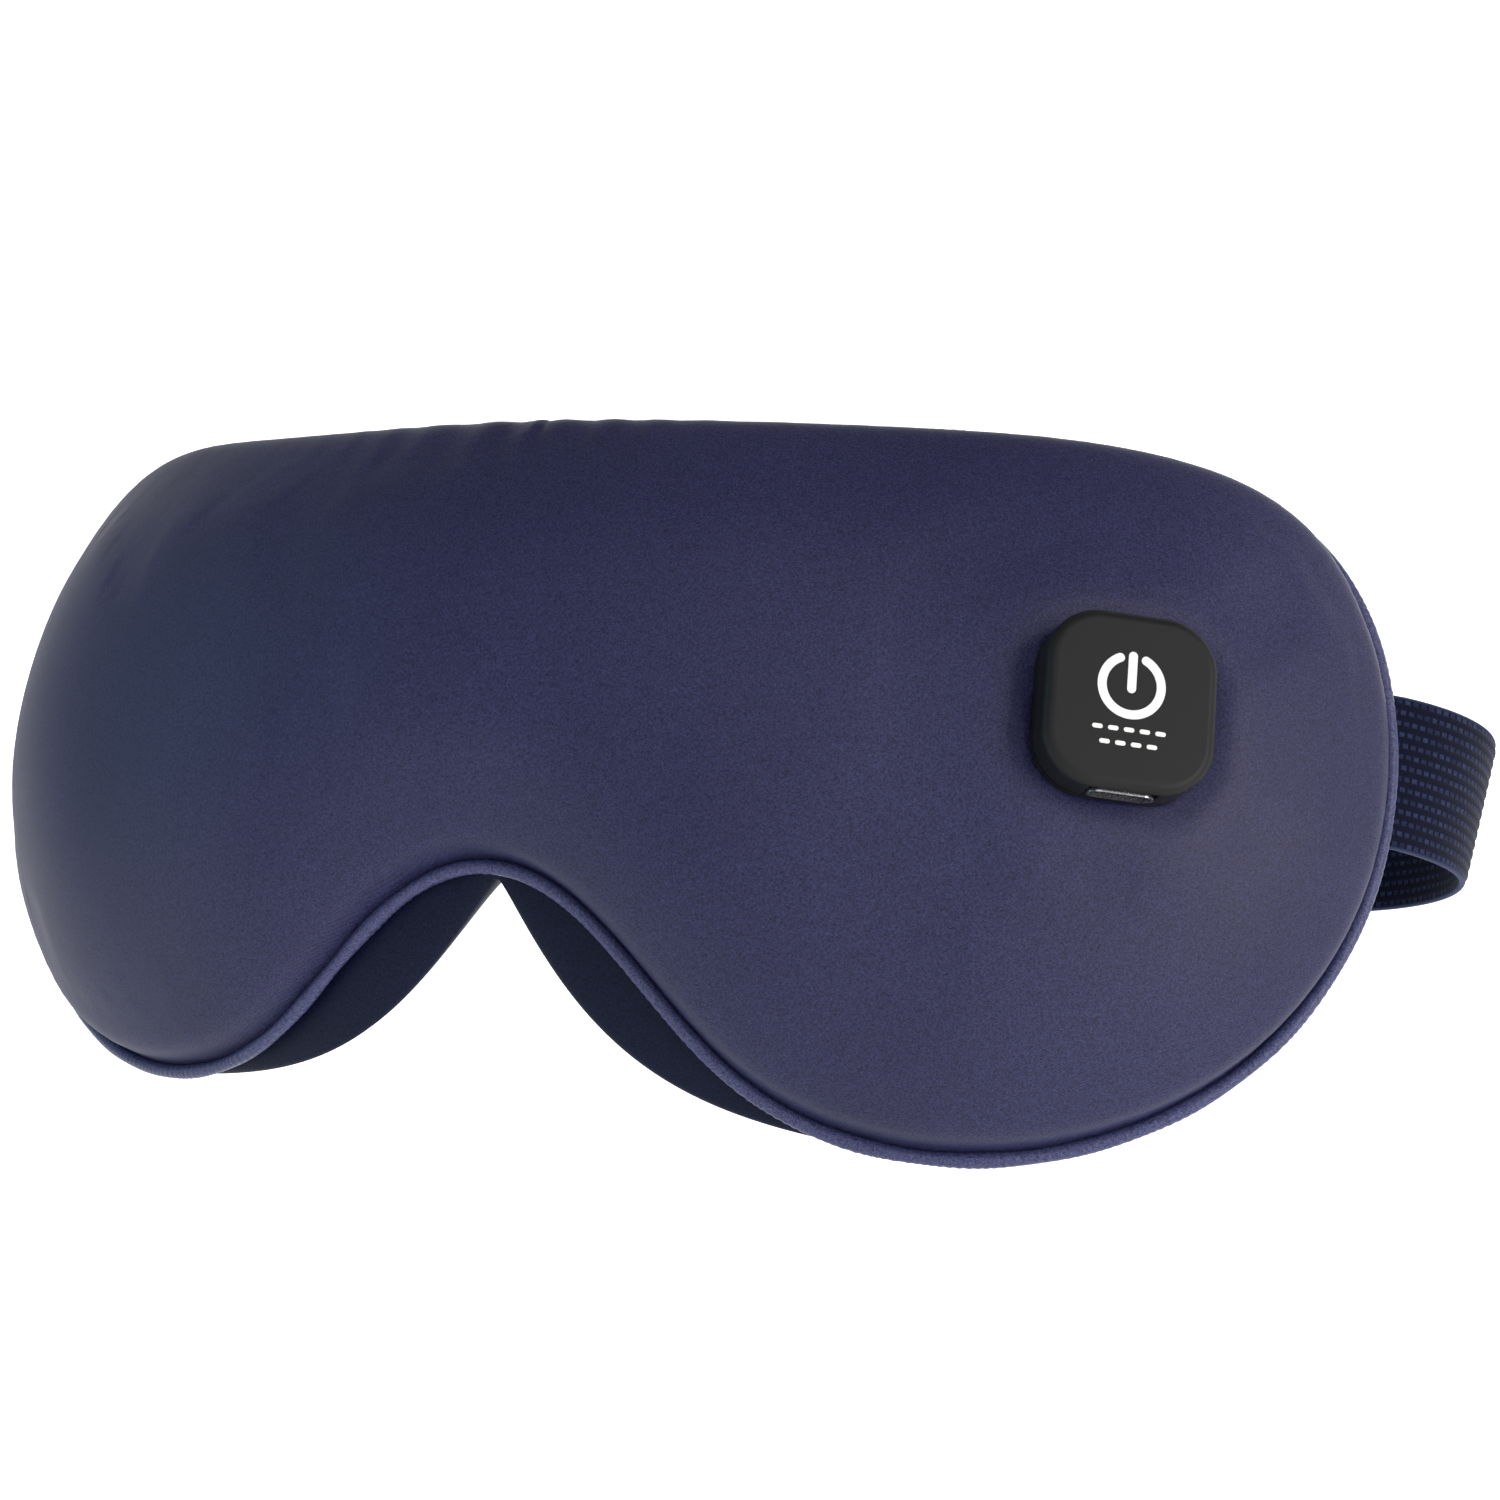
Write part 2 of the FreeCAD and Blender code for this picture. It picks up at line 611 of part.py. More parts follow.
def board_parts():
    deck_at = deck_level()
    box_on_module("control_chip", "4", "4", "0.9", -5.6, 4.6, deck_at)
    switch_body(deck_at)
    box_on_module("battery_cell", "14", "15.5", "Sizes.battery_gauge", 0.9, 0,
                  0.4 - size("base_depth") + size("base_wall"))
    plunger = doc.addObject("Part::Cylinder", "tact_switch_plunger")
    plunger.setExpression("Radius", "Sizes.plunger_radius")
    plunger.setExpression("Height", "Sizes.plunger_rise + Sizes.plunger_seat")
    lift = FreeCAD.Placement(Vector(0, 0, deck_at + size("switch_rise") - size("plunger_seat")), FreeCAD.Rotation())
    named(plunger, "tact_switch_plunger", MODULE.multiply(lift))


def stadium(width, rise, depth, low, front):
    """A bar of rounded cross-section along +Y, its flat sides up and down."""
    radius = rise / 2
    centre = low + radius
    left = Vector(-width / 2 + radius, front, centre)
    right = Vector(width / 2 - radius, front, centre)
    core = Part.makeBox(width - rise, depth, rise, Vector(-width / 2 + radius, front, low))
    ends = [Part.makeCylinder(radius, depth, foot, Vector(0, 1, 0)) for foot in (left, right)]
    return core.multiFuse(ends).removeSplitter()


def usb_port():
    wall = size("usb_wall")
    low = deck_level()
    front = -size("cap_length") / 2 - size("usb_proud")
    shell = stadium(size("usb_width"), size("usb_rise"), size("usb_depth"), low, front)
    bore = stadium(size("usb_width") - 2 * wall, size("usb_rise") - 2 * wall, size("usb_depth") - 0.6,
                   low + wall, front)
    piece = keep("usb_shell", shell.cut(bore))
    piece.Placement = MODULE
    middle = low + size("usb_rise") / 2
    tongue = Part.makeBox(6.6, size("usb_depth") - 1.4, 0.7, Vector(-3.3, front + 0.8, middle - 0.35))
    piece = keep("usb_tongue", tongue)
    piece.Placement = MODULE


def cap_seal():
    """A thin ring between the base's flange and the cap, compressed when the cap is pressed."""
    body = block("cap_seal", "Sizes.cap_width - 0.4", "Sizes.cap_length - 0.4", "Sizes.cap_corner - 0.2",
                 "Sizes.flange_gauge + 0.02", "0.06")
    hollow(body, "Sizes.cap_width - 2 * Sizes.cap_wall + 0.3", "Sizes.cap_length - 2 * Sizes.cap_wall + 0.3",
           "Sizes.cap_corner - Sizes.cap_wall + 0.15", "Sizes.flange_gauge - 1", "3")
    named(body, "cap_seal", MODULE)


def clamp_plate():
    inner = "Sizes.cap_%s - 2 * Sizes.flange_step + 0.3"
    body = block("clamp_plate", "Sizes.cap_width + 2 * Sizes.clamp_margin",
                 "Sizes.cap_length + 2 * Sizes.clamp_margin", "Sizes.cap_corner + Sizes.clamp_margin",
                 "-Sizes.cloth_gauge - 0.1 - Sizes.clamp_gauge", "Sizes.clamp_gauge")
    hollow(body, inner % "width", inner % "length", "Sizes.cap_corner - Sizes.flange_step + 0.15",
           "-5", "9")
    holes = new_sketch(body, "-5")
    for x, y in screw_places():
        disc(holes, "Sizes.screw_radius + 0.05", x, y)
    pocket(body, holes, "9", upward=True)
    named(body, "clamp_plate", MODULE)


def screw_places():
    x = size("cap_width") / 2 + size("clamp_margin") / 2 - 0.4
    return ((x, 4.0), (x, -4.0), (-x, 4.0), (-x, -4.0))


def clamp_screws():
    low = -size("cloth_gauge") - 0.1 - size("clamp_gauge")
    screws = []
    for x, y in screw_places():
        shank = Part.makeCylinder(size("screw_radius"), size("clamp_gauge"), Vector(x, y, low))
        head = Part.makeCylinder(size("screw_radius") + 0.4, 0.6, Vector(x, y, low - 0.6))
        screws.append(shank.fuse(head).removeSplitter())
    piece = keep("clamp_screws", Part.Compound(screws))
    piece.Placement = MODULE


# ---- vibration motors ----

def motor_frame(side):
    station = side * size("motor_station")
    outward = normal(station, size("motor_height"))
    right = Vector(-outward.y, outward.x, 0).normalize()
    foot = place(station, size("motor_height"), size("carrier_gauge") + 0.1)
    return FreeCAD.Placement(foot, FreeCAD.Rotation(right, outward.cross(right), outward, "ZXY"))


def cylinder(name, radius, rise, low=None):
    piece = doc.addObject("Part::Cylinder", name)
    piece.setExpression("Radius", radius)
    piece.setExpression("Height", rise)
    if low:
        piece.setExpression("Placement.Base.z", low)
    return piece


def cut(name, base, tool):
    piece = doc.addObject("Part::Cut", name)
    piece.Base = base
    piece.Tool = tool
    return piece


def motors():
    floor = "0.4"
    for side_name, side in (("right", 1), ("left", -1)):
        frame = motor_frame(side)
        can = cut("motor_can_" + side_name,
                  cylinder("CanOuter" + side_name, "Sizes.motor_radius", "Sizes.motor_rise - 0.4", floor),
                  cylinder("CanInner" + side_name, "Sizes.motor_radius - Sizes.motor_wall",
                           "Sizes.motor_rise - 0.4 - Sizes.motor_wall", floor))
        named(can, "motor_can_" + side_name, frame)
        plate = cylinder("motor_plate_" + side_name, "Sizes.motor_radius", "0.4")
        named(plate, "motor_plate_" + side_name, frame)
        shaft = cylinder("motor_shaft_" + side_name, "Sizes.shaft_radius",
                         "Sizes.motor_rise - 0.4 - Sizes.motor_wall")
        named(shaft, "motor_shaft_" + side_name, frame.multiply(
            FreeCAD.Placement(Vector(0, 0, 0.4), FreeCAD.Rotation())))
        magnet = cut("motor_magnet_" + side_name,
                     cylinder("MagnetOuter" + side_name, "Sizes.motor_radius - 0.9", "0.9", floor),
                     cylinder("MagnetBore" + side_name, "Sizes.shaft_radius + 0.9", "0.9", floor))
        named(magnet, "motor_magnet_" + side_name, frame)
        keep_weight(side_name, frame)


def keep_weight(side_name, frame):
    """The off-centre rotor: a hub on the shaft and a half disc to one side."""
    low = 1.45
    rise = size("motor_rise") - size("motor_wall") - low - 0.15
    reach = size("motor_radius") - size("motor_wall") - 0.3
    disc_body = Part.makeCylinder(reach, rise, Vector(0, 0, low), Vector(0, 0, 1), 180)
    hub = Part.makeCylinder(size("shaft_radius") + 0.7, rise, Vector(0, 0, low))
    bore = Part.makeCylinder(size("shaft_radius") + size("run_fit"), rise, Vector(0, 0, low))
    piece = keep("motor_weight_" + side_name, disc_body.fuse(hub).cut(bore).removeSplitter())
    piece.Placement = frame


# ---- head strap ----

def strap_line(side, leadin, radius):
    """Plan stops of one strap end, from inside the mask's end to the start of the back run.

    Each stop is x, y, the heading of the tangent in degrees, and the share of the way to the back run."""
    station = size("half_width") - size("strap_tuck")
    angle = math.degrees(station / size("bend_radius"))
    foot = place(station, size("strap_height"), -size("strap_level"))
    heading = Vector(math.cos(math.radians(angle)), math.sin(math.radians(angle)), 0)
    corner = foot + heading * leadin
    centre = corner + Vector(-heading.y, heading.x, 0) * radius
    stops = [(foot.x, foot.y, angle), (corner.x, corner.y, angle)]
    steps = 12
    for i in range(1, steps + 1):
        turn = angle + (180 - angle) * i / steps
        x = centre.x + radius * math.sin(math.radians(turn))
        y = centre.y - radius * math.cos(math.radians(turn))
        stops.append((x, y, turn))
    shaped = []
    for i, (x, y, turn) in enumerate(stops):
        share = max(0, i - 1) / steps
        shaped.append((side * x, y, side * turn, share))
    return shaped


def run_depth():
    """How far back the straight run of the strap lies."""
    return strap_line(1, size("strap_leadin"), size("strap_radius"))[-1][1]


def left_radius():
    """The bend at the ring's end starts further out, so it is tighter for the same back run."""
    corner = strap_line(1, size("strap_leadin") + size("ring_span"), 0.0)[1]
    return (run_depth() - corner[1]) / (1 + math.cos(math.radians(corner[2])))


def stop_frame(x, y, turn, share, offset=0.0):
    """Centre, outward and up directions of the band at one stop; offset is towards the head."""
    outward = Vector(math.sin(math.radians(turn)), -math.cos(math.radians(turn)), 0)
    height = size("strap_height") - size("strap_drop") * share
    lean = math.radians(size("strap_lean")) * math.sin(math.pi * share)
    up = Vector(0, 0, math.cos(lean)) + outward * math.sin(lean)
    face = outward * math.cos(lean) - Vector(0, 0, math.sin(lean))
    return Vector(x, y, height) - face * offset, face, up


def band(frames, thickness, width):
    """A flat band through frames of centre, face direction and up direction."""
    wires = []
    for centre, face, up in frames:
        half, tall = face * (thickness / 2), up * (width / 2)
        corners = [centre - half - tall, centre + half - tall, centre + half + tall, centre - half + tall]
        wires.append(Part.makePolygon(corners + corners[:1]))
    return Part.makeLoft(wires, True, True)


def strap_start(side):
    stops = strap_line(side, size("strap_leadin"), size("strap_radius"))[:2]
    return [stop_frame(*stop) for stop in stops]


def wrap(middle, face, up, along, radius, first, last):
    """Frames round an upright bar at middle, from angle first to last, measured from face towards along."""
    frames = []
    for i in range(9):
        angle = math.radians(first + (last - first) * i / 8)
        spoke = face * math.cos(angle) + along * math.sin(angle)
        frames.append((middle + spoke * radius, spoke, up))
    return frames


def left_side():
    """Positions of the two ring bars and the frames of the left bend."""
    leadin = size("strap_leadin") + size("ring_span")
    stops = strap_line(-1, leadin, left_radius())
    tuck = stop_frame(*stops[0])
    outer = stop_frame(*stops[1])
    along = (outer[0] - tuck[0]).normalize()
    return stops, tuck, outer, along


def wrap_radius(gauge):
    return size("wire_radius") + 0.1 + gauge / 2


def elastic_strap():
    stops, _, outer, along = left_side()
    radius = wrap_radius(size("strap_gauge"))
    bar = outer[0] - outer[1] * radius
    right = [stop_frame(*stop) for stop in strap_line(1, size("strap_leadin"), size("strap_radius"))]
    left = [stop_frame(*stop) for stop in stops[1:]]
    frames = right + list(reversed(left)) + wrap(bar, outer[1], outer[2], -along, radius, 15, 180)
    keep("elastic_strap", band(frames, size("strap_gauge"), size("strap_width")))


def strap_return():
    stops, _, outer, along = left_side()
    gauge = size("return_gauge")
    start = 2 * wrap_radius(size("strap_gauge"))
    beside = (size("strap_gauge") + gauge) / 2 + size("layer_gap")
    frames = []
    for i, stop in enumerate(stops[1:]):
        share = min(1.0, i / 6)
        frames.append(stop_frame(*stop, offset=start + (beside - start) * share))
    place_x = -size("slider_place")
    run = frames[-1]
    loop_radius = size("slider_bar") + 0.1 + gauge / 2
    bar = Vector(place_x, run[0].y - loop_radius, run[0].z)
    frames += wrap(bar, run[1], run[2], Vector(1, 0, 0), loop_radius, 0, 180)
    tail = Vector(place_x - 11, run[0].y - gauge - 0.15, run[0].z)
    frames.append((tail + Vector(3, -0.25, 0), -run[1], run[2]))
    frames.append((tail, -run[1], run[2]))
    keep("strap_return", band(frames, gauge, size("strap_width") - 1.0))


def strap_tab():
    _, tuck, outer, along = left_side()
    gauge = size("return_gauge")
    radius = wrap_radius(gauge)
    bar = outer[0] - along * size("ring_span") - outer[1] * wrap_radius(size("strap_gauge"))
    level = bar + outer[1] * radius
    start = tuck[0] + outer[1] * ((level - tuck[0]).dot(outer[1]))
    frames = [(start, outer[1], outer[2])]
    frames += wrap(bar, outer[1], outer[2], along, radius, 0, 180)
    tail = bar - outer[1] * radius - along * 5.0
    frames.append((tail, -outer[1], outer[2]))
    keep("strap_tab", band(frames, gauge, size("strap_width") - 1.0))


def strap_ring():
    _, _, outer, along = left_side()
    radius = size("wire_radius")
    far = outer[0] - outer[1] * wrap_radius(size("strap_gauge"))
    near = far - along * size("ring_span")
    half = size("strap_width") / 2 + radius + 0.4
    corners = [far + Vector(0, 0, half), near + Vector(0, 0, half), near - Vector(0, 0, half),
               far - Vector(0, 0, half)]
    pieces = []
    for here, there in zip(corners, corners[1:] + corners[:1]):
        pieces.append(rod(here, there - here, radius, (there - here).Length))
        pieces.append(Part.makeSphere(radius, here))
    keep("strap_ring", pieces[0].multiFuse(pieces[1:]).removeSplitter())


def slider_box(name, width, length, rise, x, y, low):
    box = doc.addObject("Part::Box", name)
    for prop, value in (("Length", width), ("Width", length), ("Height", rise), ("Placement.Base.x", x),
                        ("Placement.Base.y", y), ("Placement.Base.z", low)):
        box.setExpression(prop, value)
    return box


def strap_slider():
    """Two outer bars over the strap, two side rails past its edges and a round bar under it."""
    reach = "(Sizes.strap_width / 2 + 0.5)"
    over = "(Sizes.strap_gauge / 2 + 0.3)"
    frame_plate = slider_box("SliderPlate", "Sizes.slider_length", "2 * %s + 5" % reach, "Sizes.slider_gauge",
                             "-Sizes.slider_length / 2", "-%s - 2.5" % reach, over)
    window = slider_box("SliderWindow", "Sizes.slider_length - 5", "2 * %s" % reach, "Sizes.slider_gauge",
                        "-(Sizes.slider_length - 5) / 2", "-%s" % reach, over)
    plate = cut("SliderFrame", frame_plate, window)
    under = "(Sizes.strap_gauge / 2 + Sizes.layer_gap + Sizes.return_gauge + 0.1 + Sizes.slider_bar)"
    rails = []
    for name, low in (("Upper", reach), ("Lower", "-%s - 2.5" % reach)):
        rails.append(slider_box("Slider" + name, "5", "2.5", "%s + Sizes.slider_bar + %s" % (under, over),
                                "-2.5", low, "-%s - Sizes.slider_bar" % under))
    bar = doc.addObject("Part::Cylinder", "SliderBar")
    bar.setExpression("Radius", "Sizes.slider_bar")
    bar.setExpression("Height", "2 * %s + 1" % reach)
    doc.recompute()
    foot = Vector(0, -size("strap_width") / 2 - 1.0, -bar_level())
    bar.Placement = FreeCAD.Placement(foot, FreeCAD.Rotation(Vector(1, 0, 0), -90))
    body = doc.addObject("Part::MultiFuse", "strap_slider")
    body.Shapes = [plate, rails[0], rails[1], bar]
    foot = Vector(-size("slider_place"), run_depth(), size("strap_height") - size("strap_drop"))
    turned = FreeCAD.Rotation(Vector(-1, 0, 0), Vector(0, 0, 1), Vector(0, 1, 0), "ZXY")
    named(body, "strap_slider", FreeCAD.Placement(foot, turned))


def bar_level():
    return size("strap_gauge") / 2 + size("layer_gap") + size("return_gauge") + 0.1 + size("slider_bar")


# ---- build, check and export ----

def build():
    for make in (front_cover, front_wadding, carrier_sheet, eye_foams, back_cover, nose_flaps, edge_piping,
                 heating_films, ntc_sensor, leads, module_base, button_cap, power_symbol, legend_dashes,
                 circuit_board, board_parts, usb_port, cap_seal, clamp_plate, clamp_screws, motors,
                 elastic_strap, strap_return, strap_tab, strap_ring, strap_slider):
        make()
    doc.recompute()


def check_and_export():
    for item in doc.Objects:
        if "Invalid" in item.State or "Error" in item.State:
            raise ValueError("%s did not build" % item.Label)
    os.makedirs("parts", exist_ok=True)
    for node in nodes:
        if node.Shape.isNull() or not node.Shape.isValid():
            raise ValueError("%s has no valid shape" % node.Label)
        print("%-24s %9.1f mm3 %d solid(s)" % (node.Label, node.Shape.Volume, len(node.Shape.Solids)))
    for node in nodes:
        node.Shape.exportStep("parts/%s.step" % node.Label)
    print("nodes:", len(nodes))


build()
check_and_export()
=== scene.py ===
import json
import math
import bpy
import numpy as np
from mathutils import Matrix, Vector


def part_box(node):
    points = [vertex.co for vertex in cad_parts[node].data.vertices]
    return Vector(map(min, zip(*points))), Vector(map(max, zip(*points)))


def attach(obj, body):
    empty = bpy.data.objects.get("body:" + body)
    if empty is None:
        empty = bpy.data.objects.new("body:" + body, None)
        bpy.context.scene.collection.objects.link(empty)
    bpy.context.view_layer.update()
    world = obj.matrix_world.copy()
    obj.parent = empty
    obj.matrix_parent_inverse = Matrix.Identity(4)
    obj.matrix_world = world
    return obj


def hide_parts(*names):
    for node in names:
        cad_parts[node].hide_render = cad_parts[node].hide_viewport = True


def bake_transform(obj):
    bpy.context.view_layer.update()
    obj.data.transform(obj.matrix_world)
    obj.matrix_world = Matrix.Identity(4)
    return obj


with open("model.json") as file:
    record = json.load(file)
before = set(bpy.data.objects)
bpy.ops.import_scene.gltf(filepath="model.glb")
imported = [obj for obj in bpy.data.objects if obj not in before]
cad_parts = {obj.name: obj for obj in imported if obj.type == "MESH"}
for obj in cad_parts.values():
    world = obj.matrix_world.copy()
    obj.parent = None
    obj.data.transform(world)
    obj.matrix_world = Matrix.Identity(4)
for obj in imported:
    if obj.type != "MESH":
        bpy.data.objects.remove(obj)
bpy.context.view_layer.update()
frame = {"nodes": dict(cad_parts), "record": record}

mm = 0.001

# layout shared with the CAD sheet, in millimetres on the flat sewing pattern
mask = dict(halfWidth=127.4, halfHeight=51.0, bendRadius=182.0, edgeSetback=7.0, setbackHeight=50.0,
            faceDepth=9.5, middle=12.0)
# half outline from the top middle round to the nose arch, as shares of half width and half height
outlineShares = ((0.0, 0.98), (0.457, 1.0), (0.929, 0.764), (1.0, 0.094), (0.868, -0.665), (0.522, -1.0),
                 (0.299, -0.842), (0.0, -0.346))


def hexColour(text):
    # sRGB hex to linear red, green, blue and alpha
    channels = [int(text[i:i + 2], 16) / 255 for i in (1, 3, 5)]
    linear = [((c + 0.055) / 1.055) ** 2.4 if c > 0.04045 else c / 12.92 for c in channels]
    return (*linear, 1.0)


def smooth(x):
    x = np.clip(x, 0, 1)
    return x * x * (3 - 2 * x)


def waves(points, size, seed, count=10):
    # smooth seeded noise from crossed sine waves, about -1 to 1
    rng = np.random.default_rng(seed)
    total = np.zeros(len(points))
    for i in range(count):
        direction = rng.normal(size=points.shape[1])
        direction /= np.linalg.norm(direction)
        length = size * rng.uniform(0.6, 1.6)
        total += np.sin(points @ direction * 2 * np.pi / length + rng.uniform(0, 2 * np.pi))
    return total / math.sqrt(count)


def clampedSpline(points, startSlope, endSlope, count):
    # cubic through the points, with given end directions, evenly sampled
    points = np.array(points, float)
    steps = np.linalg.norm(np.diff(points, axis=0), axis=1)
    knots = np.concatenate([[0], np.cumsum(steps)])
    n = len(points)
    matrix = np.zeros((n, n))
    right = np.zeros((n, 2))
    matrix[0, 0] = matrix[-1, -1] = 1
    right[0], right[-1] = startSlope, endSlope
    for i in range(1, n - 1):
        a, b = steps[i - 1], steps[i]
        matrix[i, i - 1], matrix[i, i], matrix[i, i + 1] = b, 2 * (a + b), a
        right[i] = 3 * (b * (points[i] - points[i - 1]) / a + a * (points[i + 1] - points[i]) / b)
    slopes = np.linalg.solve(matrix, right)
    where = np.linspace(0, knots[-1], count)
    k = np.clip(np.searchsorted(knots, where, side="right") - 1, 0, n - 2)
    width = steps[k][:, None]
    t = ((where - knots[k]) / steps[k])[:, None]
    p0, p1, m0, m1 = points[k], points[k + 1], slopes[k] * width, slopes[k + 1] * width
    return ((2 * t ** 3 - 3 * t ** 2 + 1) * p0 + (t ** 3 - 2 * t ** 2 + t) * m0
            + (3 * t ** 2 - 2 * t ** 3) * p1 + (t ** 3 - t ** 2) * m1)


halfSeam = clampedSpline([(x * mask["halfWidth"], z * mask["halfHeight"]) for x, z in outlineShares],
                         (1, 0), (-1, 0), 600)
seam = np.vstack([halfSeam, halfSeam[-2:0:-1] * [-1, 1]])
seamEnd = halfSeam[:, 0].max()
closedSeam = np.vstack([seam, seam[:1]])
seamTravel = np.concatenate([[0], np.cumsum(np.linalg.norm(np.diff(closedSeam, axis=0), axis=1))])
seamLength = seamTravel[-1]


def crossings(stations):
    # lower and upper seam height at each station
    tip = int(halfSeam[:, 0].argmax())
    reach = np.minimum(np.abs(stations), seamEnd)
    upper = np.interp(reach, halfSeam[:tip + 1, 0], halfSeam[:tip + 1, 1])
    lowerHalf = halfSeam[tip:][::-1]
    lower = np.interp(reach, lowerHalf[:, 0], lowerHalf[:, 1])
    return lower, upper


def bent(s, z, n):
    # pattern station, height and level to the object's frame, in metres
    angle = s / mask["bendRadius"]
    reach = mask["bendRadius"] + n - mask["edgeSetback"] * (z / mask["setbackHeight"]) ** 2
    x = reach * np.sin(angle)
    y = mask["bendRadius"] - reach * np.cos(angle) - mask["faceDepth"]
    return np.stack([x, y, z * np.ones_like(x)], -1) * mm


def meshObject(name, vertices, faces):
    mesh = bpy.data.meshes.new(name)
    mesh.from_pydata([tuple(v) for v in vertices], [], [tuple(int(i) for i in f) for f in faces])
    mesh.validate()
    piece = bpy.data.objects.new(name, mesh)
    bpy.context.scene.collection.objects.link(piece)
    mesh.polygons.foreach_set("use_smooth", [True] * len(mesh.polygons))
    return piece


def applied(piece):
    # makes the piece's modifiers real
    graph = bpy.context.evaluated_depsgraph_get()
    mesh = bpy.data.meshes.new_from_object(piece.evaluated_get(graph))
    piece.modifiers.clear()
    old = piece.data
    piece.data = mesh
    bpy.data.meshes.remove(old)


def welded(piece, gap):
    # joins points that lie within a gap in millimetres
    weld = piece.modifiers.new("weld", "WELD")
    weld.merge_threshold = gap * mm
    applied(piece)


def gridFaces(rows, columns, closedRows=False, closedColumns=False):
    faces = []
    for i in range(rows if closedRows else rows - 1):
        for j in range(columns if closedColumns else columns - 1):
            a, b = i * columns + j, i * columns + (j + 1) % columns
            c, d = ((i + 1) % rows) * columns + (j + 1) % columns, ((i + 1) % rows) * columns + j
            faces.append((a, b, c, d))
    return faces


def addNode(tree, kind, settings=None, links=None):
    # a node with its properties, its socket values and its incoming links
    node = tree.nodes.new(kind)
    for key, value in (settings or {}).items():
        if key.startswith("in:"):
            slot = key[3:]
            node.inputs[int(slot) if slot.isdigit() else slot].default_value = value
        else:
            setattr(node, key, value)
    for slot, source in (links or {}).items():
        tree.links.new(source, node.inputs[int(slot) if slot.isdigit() else slot])
    return node


def newMaterial(name, values):
    material = bpy.data.materials.new(name)
    material.use_nodes = True
    tree = material.node_tree
    shader = tree.nodes["Principled BSDF"]
    for key, value in values.items():
        shader.inputs[key].default_value = value
    return material, tree, shader


def ramp(tree, factor, low, high, lowColour, highColour):
    node = addNode(tree, "ShaderNodeValToRGB", {}, {"Fac": factor})
    node.color_ramp.elements[0].position = low
    node.color_ramp.elements[1].position = high
    node.color_ramp.elements[0].color = lowColour
    node.color_ramp.elements[1].color = highColour
    return node.outputs["Color"]


satinLook = dict(deep="#0C0C2E", lit="#40406C", shine=0.32, grain=0.3, roughness=0.48, sheen=0.05,
                 sheenTint="#8C93B8", bump=0.3, slant=32, twill=0.08, patch=45.4545)


def satinMaterial(name, look):
    # woven polyester satin: long floats give a soft broad gloss, broken up by a grain of threads
    # that is drawn at 0.3 mm, coarser than the real 0.1 mm, so that it shows
    material, tree, shader = newMaterial(name, {
        "Roughness": look["roughness"], "Sheen Weight": look["sheen"], "Sheen Roughness": 0.45,
        "Sheen Tint": hexColour(look["sheenTint"]), "IOR": 1.5, "Specular IOR Level": look["shine"]})
    coords = addNode(tree, "ShaderNodeTexCoord").outputs["Object"]
    scale = 1 / (look["grain"] * mm)
    speckle = addNode(tree, "ShaderNodeTexNoise",
                      {"in:Scale": scale, "in:Detail": 4.0, "in:Roughness": 0.75},
                      {"Vector": coords}).outputs["Fac"]
    slanted = addNode(tree, "ShaderNodeMapping", {"in:Rotation": (0, math.radians(look["slant"]), 0)},
                      {"Vector": coords})
    twill = addNode(tree, "ShaderNodeTexWave",
                    {"in:Scale": 0.34 * scale, "in:Distortion": 4.0, "in:Detail": 2.0,
                     "in:Detail Scale": 2.0, "bands_direction": "Z"},
                    {"Vector": slanted.outputs["Vector"]}).outputs["Fac"]
    grain = addNode(tree, "ShaderNodeMix", {"data_type": "FLOAT", "in:0": look["twill"]},
                    {"2": speckle, "3": twill}).outputs[0]
    cloud = addNode(tree, "ShaderNodeTexNoise", {"in:Scale": 1 / (look["patch"] * mm), "in:Detail": 2.0},
                    {"Vector": coords}).outputs["Fac"]
    fine = ramp(tree, grain, 0.36, 0.7, hexColour(look["deep"]), hexColour(look["lit"]))
    broad = ramp(tree, cloud, 0.3, 0.7, hexColour("#E2E2EA"), hexColour("#FFFFFF"))
    mixed = addNode(tree, "ShaderNodeMix", {"data_type": "RGBA", "blend_type": "MULTIPLY", "in:0": 1.0},
                    {"6": fine, "7": broad}).outputs[2]
    tree.links.new(mixed, shader.inputs["Base Color"])
    bump = addNode(tree, "ShaderNodeBump", {"in:Strength": look["bump"], "in:Distance": 0.0002},
                   {"Height": grain}).outputs["Normal"]
    tree.links.new(bump, shader.inputs["Normal"])
    return material


# the inner satin is the front's cloth with painted shade in its colour, drawn darker for the panels that lie
# in shadow under the arch, and duller
shadedBackLook = dict(satinLook, deep="#04081A", lit="#192240", shine=0.14, sheen=0.0, roughness=0.46)
# the rolled edge is the same satin with a painted highlight, its colour drawn paler, and glossier where it is
# pulled tight
litEdgeLook = dict(satinLook, deep="#20224C", lit="#646890", roughness=0.3)
satin = satinMaterial("navySatin", satinLook)
# the inner satin's material, with painted shade in its colour
shadedBackSatin = satinMaterial("innerSatinPaintedShade", shadedBackLook)
# the rolled edge's material, with a painted highlight in its colour
litEdgeSatin = satinMaterial("rolledSatinPaintedHighlight", litEdgeLook)

elasticLook = dict(deep="#060B22", lit="#353F66", edge="#37405F", rib=22.0 / 14, selvedge=10.5)


